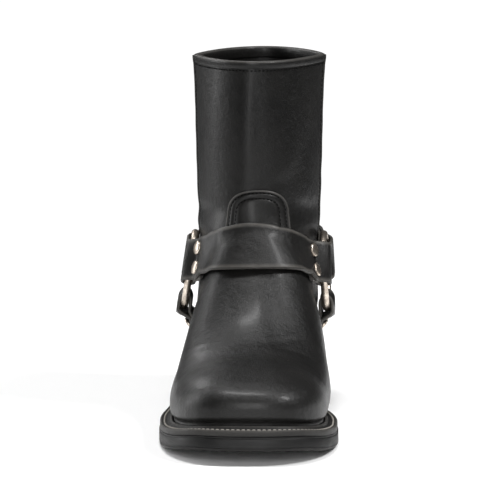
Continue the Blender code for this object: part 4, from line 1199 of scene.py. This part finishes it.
# Colours as red, green and blue: dark and light, and for a leather also worn: the paler colour of
# rubbed edges and of painted highlights on rims and crests, followed by its roughness, the
# strength of its grain and its coat.
LEATHERS = {
    "black_leather": (
        (0.0030, 0.0029, 0.0027), (0.0062, 0.0058, 0.0053), (0.060, 0.057, 0.053), 0.40, 1.0, 0.09,
    ),
    "strap_leather": (
        (0.0028, 0.0027, 0.0025), (0.0085, 0.0080, 0.0075), (0.080, 0.075, 0.068), 0.42, 0.9, 0.06,
    ),
    "welt_leather": (
        (0.0050, 0.0049, 0.0047), (0.0110, 0.0105, 0.0100), (0.055, 0.052, 0.048), 0.50, 0.8, 0.0,
    ),
}
RUBBER = (0.0055, 0.0055, 0.0056), (0.0130, 0.0127, 0.0124)
STACK = (0.014, 0.013, 0.012), (0.040, 0.037, 0.034)
LINING = (0.022, 0.021, 0.020), (0.05, 0.047, 0.044)
NICKEL = (0.34, 0.285, 0.235), (0.80, 0.715, 0.62)
BLACK_THREAD = (0.0016, 0.0015, 0.0014)
# A pale grey for the welt thread that paints the stitches' highlights into the colour of a dark
# thread.
WELT_THREAD_PAINTED_HIGHLIGHT = (0.34, 0.32, 0.29)

# The stage: each soft light's place, width, height and power, and the world's grey as a light
# and to the camera.
FLOOR_SIDES = 96
FLOOR_RADIUS = 0.62
FLOOR_FORWARD = 0.1
FLOOR_WHITE = 0.98
LIGHTS = {
    "left_box": ((-2.4, 0.9, 0.9), 0.8, 1.9, 30),
    "front_low": ((0.05, -2.6, 0.85), 0.60, 1.6, 34),
    "top_right": ((1.6, -0.5, 2.2), 0.30, 0.8, 56),
    "back_left": ((-1.5, 2.3, 1.9), 0.8, 0.8, 18),
    "top_box": ((-0.22, 0.05, 2.6), 0.24, 1.0, 40),
}
LIGHTS_AIM = (0, -0.1, 0.1)
WORLD_LIGHT = 0.07
WORLD_SEEN = 1.05

CAMERA_PLACE = (0.0666, -2.2, 0.405)
CAMERA_YAW = -0.0336
CAMERA_PITCH = -0.14102
SENSOR_WIDTH = 36.0
LENS = 241.0


class Nodes:
    """A material's node tree with short calls for making and joining its nodes."""

    def __init__(self, name):
        self.material = bpy.data.materials.new(name)
        self.material.use_nodes = True
        self.tree = self.material.node_tree
        self.shader = self.tree.nodes["Principled BSDF"]

    def put(self, socket, value):
        """Another node's output linked to the socket, or a value set on it."""
        if hasattr(value, "links"):
            self.tree.links.new(value, socket)
        else:
            socket.default_value = value

    def shade(self, key, value):
        self.put(self.shader.inputs[key], value)

    def add(self, kind, settings=(), **inputs):
        node = self.tree.nodes.new(kind)
        for key, value in dict(settings).items():
            setattr(node, key, value)
        for key, value in inputs.items():
            self.put(node.inputs[key], value)
        return node

    def place(self, scale=(1, 1, 1)):
        where = self.add("ShaderNodeTexCoord").outputs["Object"]
        return self.add("ShaderNodeMapping", Vector=where, Scale=scale).outputs["Vector"]

    def attribute(self, name):
        return self.add("ShaderNodeAttribute", {"attribute_name": name}).outputs["Fac"]

    def noise(self, vector, scale, detail, rough):
        node = self.add(
            "ShaderNodeTexNoise", Vector=vector, Scale=scale, Detail=detail, Roughness=rough
        )
        return node.outputs["Fac"]

    def ramp(self, value, *stops):
        """The value turned into greys, from stops of a value and its grey."""
        node = self.add("ShaderNodeValToRGB", Fac=value)
        elements = node.color_ramp.elements
        while len(elements) < len(stops):
            elements.new(0.5)
        for element, (at, grey) in zip(elements, stops):
            element.position, element.color = at, (grey, grey, grey, 1)
        return node.outputs["Color"]

    def times(self, a, b):
        node = self.add("ShaderNodeMath", {"operation": "MULTIPLY"})
        self.put(node.inputs[0], a)
        self.put(node.inputs[1], b)
        return node.outputs[0]

    def mix(self, share, a, b):
        node = self.add("ShaderNodeMix", {"data_type": "RGBA"})
        for key, value in ((0, share), (6, a), (7, b)):
            self.put(node.inputs[key], (*value, 1) if isinstance(value, tuple) else value)
        return node.outputs[2]

    def blend(self, value, low, high, dark, light):
        """From the dark to the light colour as the value goes from low to high."""
        return self.mix(self.ramp(value, (low, 0.0), (high, 1.0)), dark, light)

    def bump(self, height, distance, strength, normal=None):
        node = self.add("ShaderNodeBump", Strength=strength, Distance=distance, Height=height)
        if normal is not None:
            self.put(node.inputs["Normal"], normal)
        return node.outputs["Normal"]


def leather_finish(name, dark, light, worn, rough, grain, coat):
    """Oiled black leather: a fine pebbled grain with pores, cloudy colour and gloss, and a paler
    colour
    where the attribute edge says so: rubbed edges, and painted highlights on rims and crests."""
    n = Nodes(name)
    at = n.place()
    clouds = n.noise(at, 26.0, 5.0, 0.6)
    blotch = n.noise(at, 75.0, 4.0, 0.65)
    cells = n.add("ShaderNodeTexVoronoi", {"feature": "DISTANCE_TO_EDGE"}, Vector=at, Scale=1050.0)
    pebble = n.ramp(cells.outputs["Distance"], (0.0, 0.0), (0.22, 0.85), (0.6, 1.0))
    pores = n.noise(at, 2600.0, 2.0, 0.5)
    fine = n.noise(at, 420.0, 5.0, 0.65)
    colour = n.blend(clouds, 0.32, 0.7, dark, light)
    colour = n.mix(n.ramp(blotch, (0.52, 0.0), (0.8, 0.35)), colour, light)
    # The edge attribute paints the worn colour: rubbed edges, and painted highlight lines on rims
    # and crests.
    rub_and_sheen = n.times(n.attribute("edge"), n.ramp(blotch, (0.25, 0.55), (0.65, 1.0)))
    n.shade("Base Color", n.mix(rub_and_sheen, colour, worn))
    gloss = n.ramp(clouds, (0.25, rough - 0.07), (0.75, rough + 0.09))
    gloss = n.mix(n.ramp(fine, (0.35, 0.0), (0.75, 0.5)), gloss, (rough + 0.14,) * 3)
    n.shade("Roughness", gloss)
    n.shade("Specular IOR Level", 0.26)
    n.shade("Coat Weight", coat)
    n.shade("Coat Roughness", 0.22)
    dents = n.noise(at, 150.0, 3.0, 0.55)
    normal = n.bump(dents, 0.0011 * grain, 0.40)
    normal = n.bump(fine, 0.00055 * grain, 0.50, normal)
    normal = n.bump(pebble, 0.00014 * grain, 0.40, normal)
    n.shade("Normal", n.bump(pores, 0.00006 * grain, 0.25, normal))
    return n.material


def rubber_finish(name):
    n = Nodes(name)
    at = n.place()
    dust = n.noise(at, 60.0, 6.0, 0.7)
    fine = n.noise(at, 900.0, 3.0, 0.6)
    streak = n.noise(n.place((30, 30, 420)), 3.0, 4.0, 0.6)
    n.shade("Base Color", n.blend(dust, 0.35, 0.75, *RUBBER))
    n.shade("Roughness", n.ramp(streak, (0.3, 0.42), (0.7, 0.62)))
    n.shade("Specular IOR Level", 0.22)
    normal = n.bump(streak, 0.0002, 0.35)
    n.shade("Normal", n.bump(fine, 0.0001, 0.3, normal))
    return n.material


def stack_finish(name):
    """Stacked heel leather, dyed black: pressed layers with a streaky fibrous edge."""
    n = Nodes(name)
    streak = n.noise(n.place((16, 16, 640)), 4.0, 5.0, 0.65)
    cloud = n.noise(n.place(), 40.0, 4.0, 0.6)
    n.shade("Base Color", n.blend(streak, 0.3, 0.7, *STACK))
    n.shade("Roughness", n.ramp(cloud, (0.3, 0.36), (0.7, 0.52)))
    n.shade("Normal", n.bump(streak, 0.0003, 0.4))
    return n.material


def lining_finish(name):
    n = Nodes(name)
    at = n.place()
    cloud = n.noise(at, 45.0, 4.0, 0.6)
    fine = n.noise(at, 700.0, 4.0, 0.6)
    n.shade("Base Color", n.blend(cloud, 0.3, 0.7, *LINING))
    n.shade("Roughness", 0.75)
    n.shade("Normal", n.bump(fine, 0.0003, 0.5))
    return n.material


def metal_finish(name):
    """Antique nickel: warm, pale and soft, with a clouded and finely scratched surface."""
    n = Nodes(name)
    at = n.place()
    cloud = n.noise(at, 210.0, 5.0, 0.65)
    fine = n.noise(n.place((1, 1, 5)), 1400.0, 3.0, 0.6)
    n.shade("Base Color", n.blend(cloud, 0.34, 0.66, *NICKEL))
    n.shade("Metallic", 1.0)
    n.shade("Roughness", n.ramp(cloud, (0.3, 0.42), (0.7, 0.24)))
    normal = n.bump(fine, 0.00006, 0.35)
    n.shade("Normal", n.bump(cloud, 0.0002, 0.25, normal))
    return n.material


def thread_finish(name, colour):
    n = Nodes(name)
    twist = n.noise(n.place(), 1500.0, 2.0, 0.5)
    n.shade("Base Color", n.mix(twist, tuple(c * 0.6 for c in colour), colour))
    n.shade("Roughness", 0.7)
    n.shade("Specular IOR Level", 0.12)
    n.shade("Normal", n.bump(twist, 0.0001, 0.5))
    return n.material


def point_along(thing, way):
    thing.rotation_mode = "QUATERNION"
    thing.rotation_quaternion = way.to_track_quat("-Z", "Y")


def add_softbox(name, place, width, height, power):
    light = bpy.data.lights.new(name, "AREA")
    light.shape, light.size, light.size_y = "RECTANGLE", width, height
    light.energy = power
    made = add_object(name, light)
    made.location = place
    point_along(made, Vector(LIGHTS_AIM) - made.location)


def make_stage():
    """A round white floor, a surround that is white to the camera and a dim light to the rest,
    and soft studio lights."""
    mesh = bpy.data.meshes.new("floor")
    turns = np.linspace(0, 2 * math.pi, FLOOR_SIDES, endpoint=False)
    rim = [
        (FLOOR_RADIUS * math.cos(a), FLOOR_RADIUS * math.sin(a) - FLOOR_FORWARD, 0) for a in turns
    ]
    mesh.from_pydata(rim, [], [tuple(range(FLOOR_SIDES))])
    n = Nodes("floor_white")
    n.shade("Base Color", (FLOOR_WHITE, FLOOR_WHITE, FLOOR_WHITE, 1))
    n.shade("Roughness", 0.9)
    n.shade("Specular IOR Level", 0.1)
    mesh.materials.append(n.material)
    floor = add_object("floor", mesh)
    world = bpy.data.worlds.new("studio")
    world.use_nodes = True
    bpy.context.scene.world = world
    tree = world.node_tree
    back = tree.nodes["Background"]
    back.inputs["Strength"].default_value = 1.0
    path = tree.nodes.new("ShaderNodeLightPath")
    mix = tree.nodes.new("ShaderNodeMix")
    mix.data_type = "RGBA"
    for key, grey in ((6, WORLD_LIGHT), (7, WORLD_SEEN)):
        mix.inputs[key].default_value = (grey, grey, grey, 1)
    tree.links.new(path.outputs["Is Camera Ray"], mix.inputs[0])
    tree.links.new(mix.outputs[2], back.inputs["Color"])
    for name, (place, width, height, power) in LIGHTS.items():
        add_softbox(name, place, width, height, power)
    bpy.context.scene.view_settings.view_transform = "Standard"


def make_camera():
    """The photograph's viewpoint: 2.2 m in front of the boot, a little above it."""
    camera = bpy.data.cameras.new("camera")
    camera.sensor_width, camera.lens = SENSOR_WIDTH, LENS
    camera.clip_start, camera.clip_end = 0.05, 60
    made = add_object("camera", camera)
    made.location = CAMERA_PLACE
    level = math.cos(CAMERA_PITCH)
    way = (math.sin(CAMERA_YAW) * level, math.cos(CAMERA_YAW) * level, math.sin(CAMERA_PITCH))
    point_along(made, Vector(way))
    bpy.context.scene.camera = made


def main():
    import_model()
    make_camera()
    leather, strap_leather, welt_leather = (
        leather_finish(name, *looks) for name, looks in LEATHERS.items()
    )
    rubber = rubber_finish("sole_rubber")
    stack = stack_finish("heel_stack")
    lining = lining_finish("lining")
    metal = metal_finish("antique_nickel")
    thread = thread_finish("black_thread", BLACK_THREAD)
    # The welt's thread is painted pale: a painted highlight on the stitches.
    welt_thread_painted_highlight = thread_finish("welt_thread_painted_highlight", WELT_THREAD_PAINTED_HIGHLIGHT)
    worn, normals = make_upper(leather)
    top, flat = make_collar(worn, normals, leather)
    collar_stitches(top, flat, thread)
    make_tab(leather, thread)
    make_seams(leather, thread)
    counter_stitches(thread)
    make_outsole(rubber)
    make_insole(lining)
    make_welt(welt_leather, welt_thread_painted_highlight)
    make_heel(stack, rubber)
    rings = Ring(-1), Ring(1)
    make_ring("ring_lateral", rings[0], metal)
    make_ring("ring_medial", rings[1], metal)
    make_girth_strap("front", rings, FRONT_STRAP_HEIGHT, True, FRONT_STRAP_WIDTH, 100,
                     strap_leather, metal)
    make_girth_strap("back", rings, BACK_STRAP_HEIGHT, False, STRAP_WIDTH, 120, strap_leather,
                     metal)
    make_lower_strap("lateral", rings[0], strap_leather, metal)
    make_lower_strap("medial", rings[1], strap_leather, metal)
    make_stage()


main()
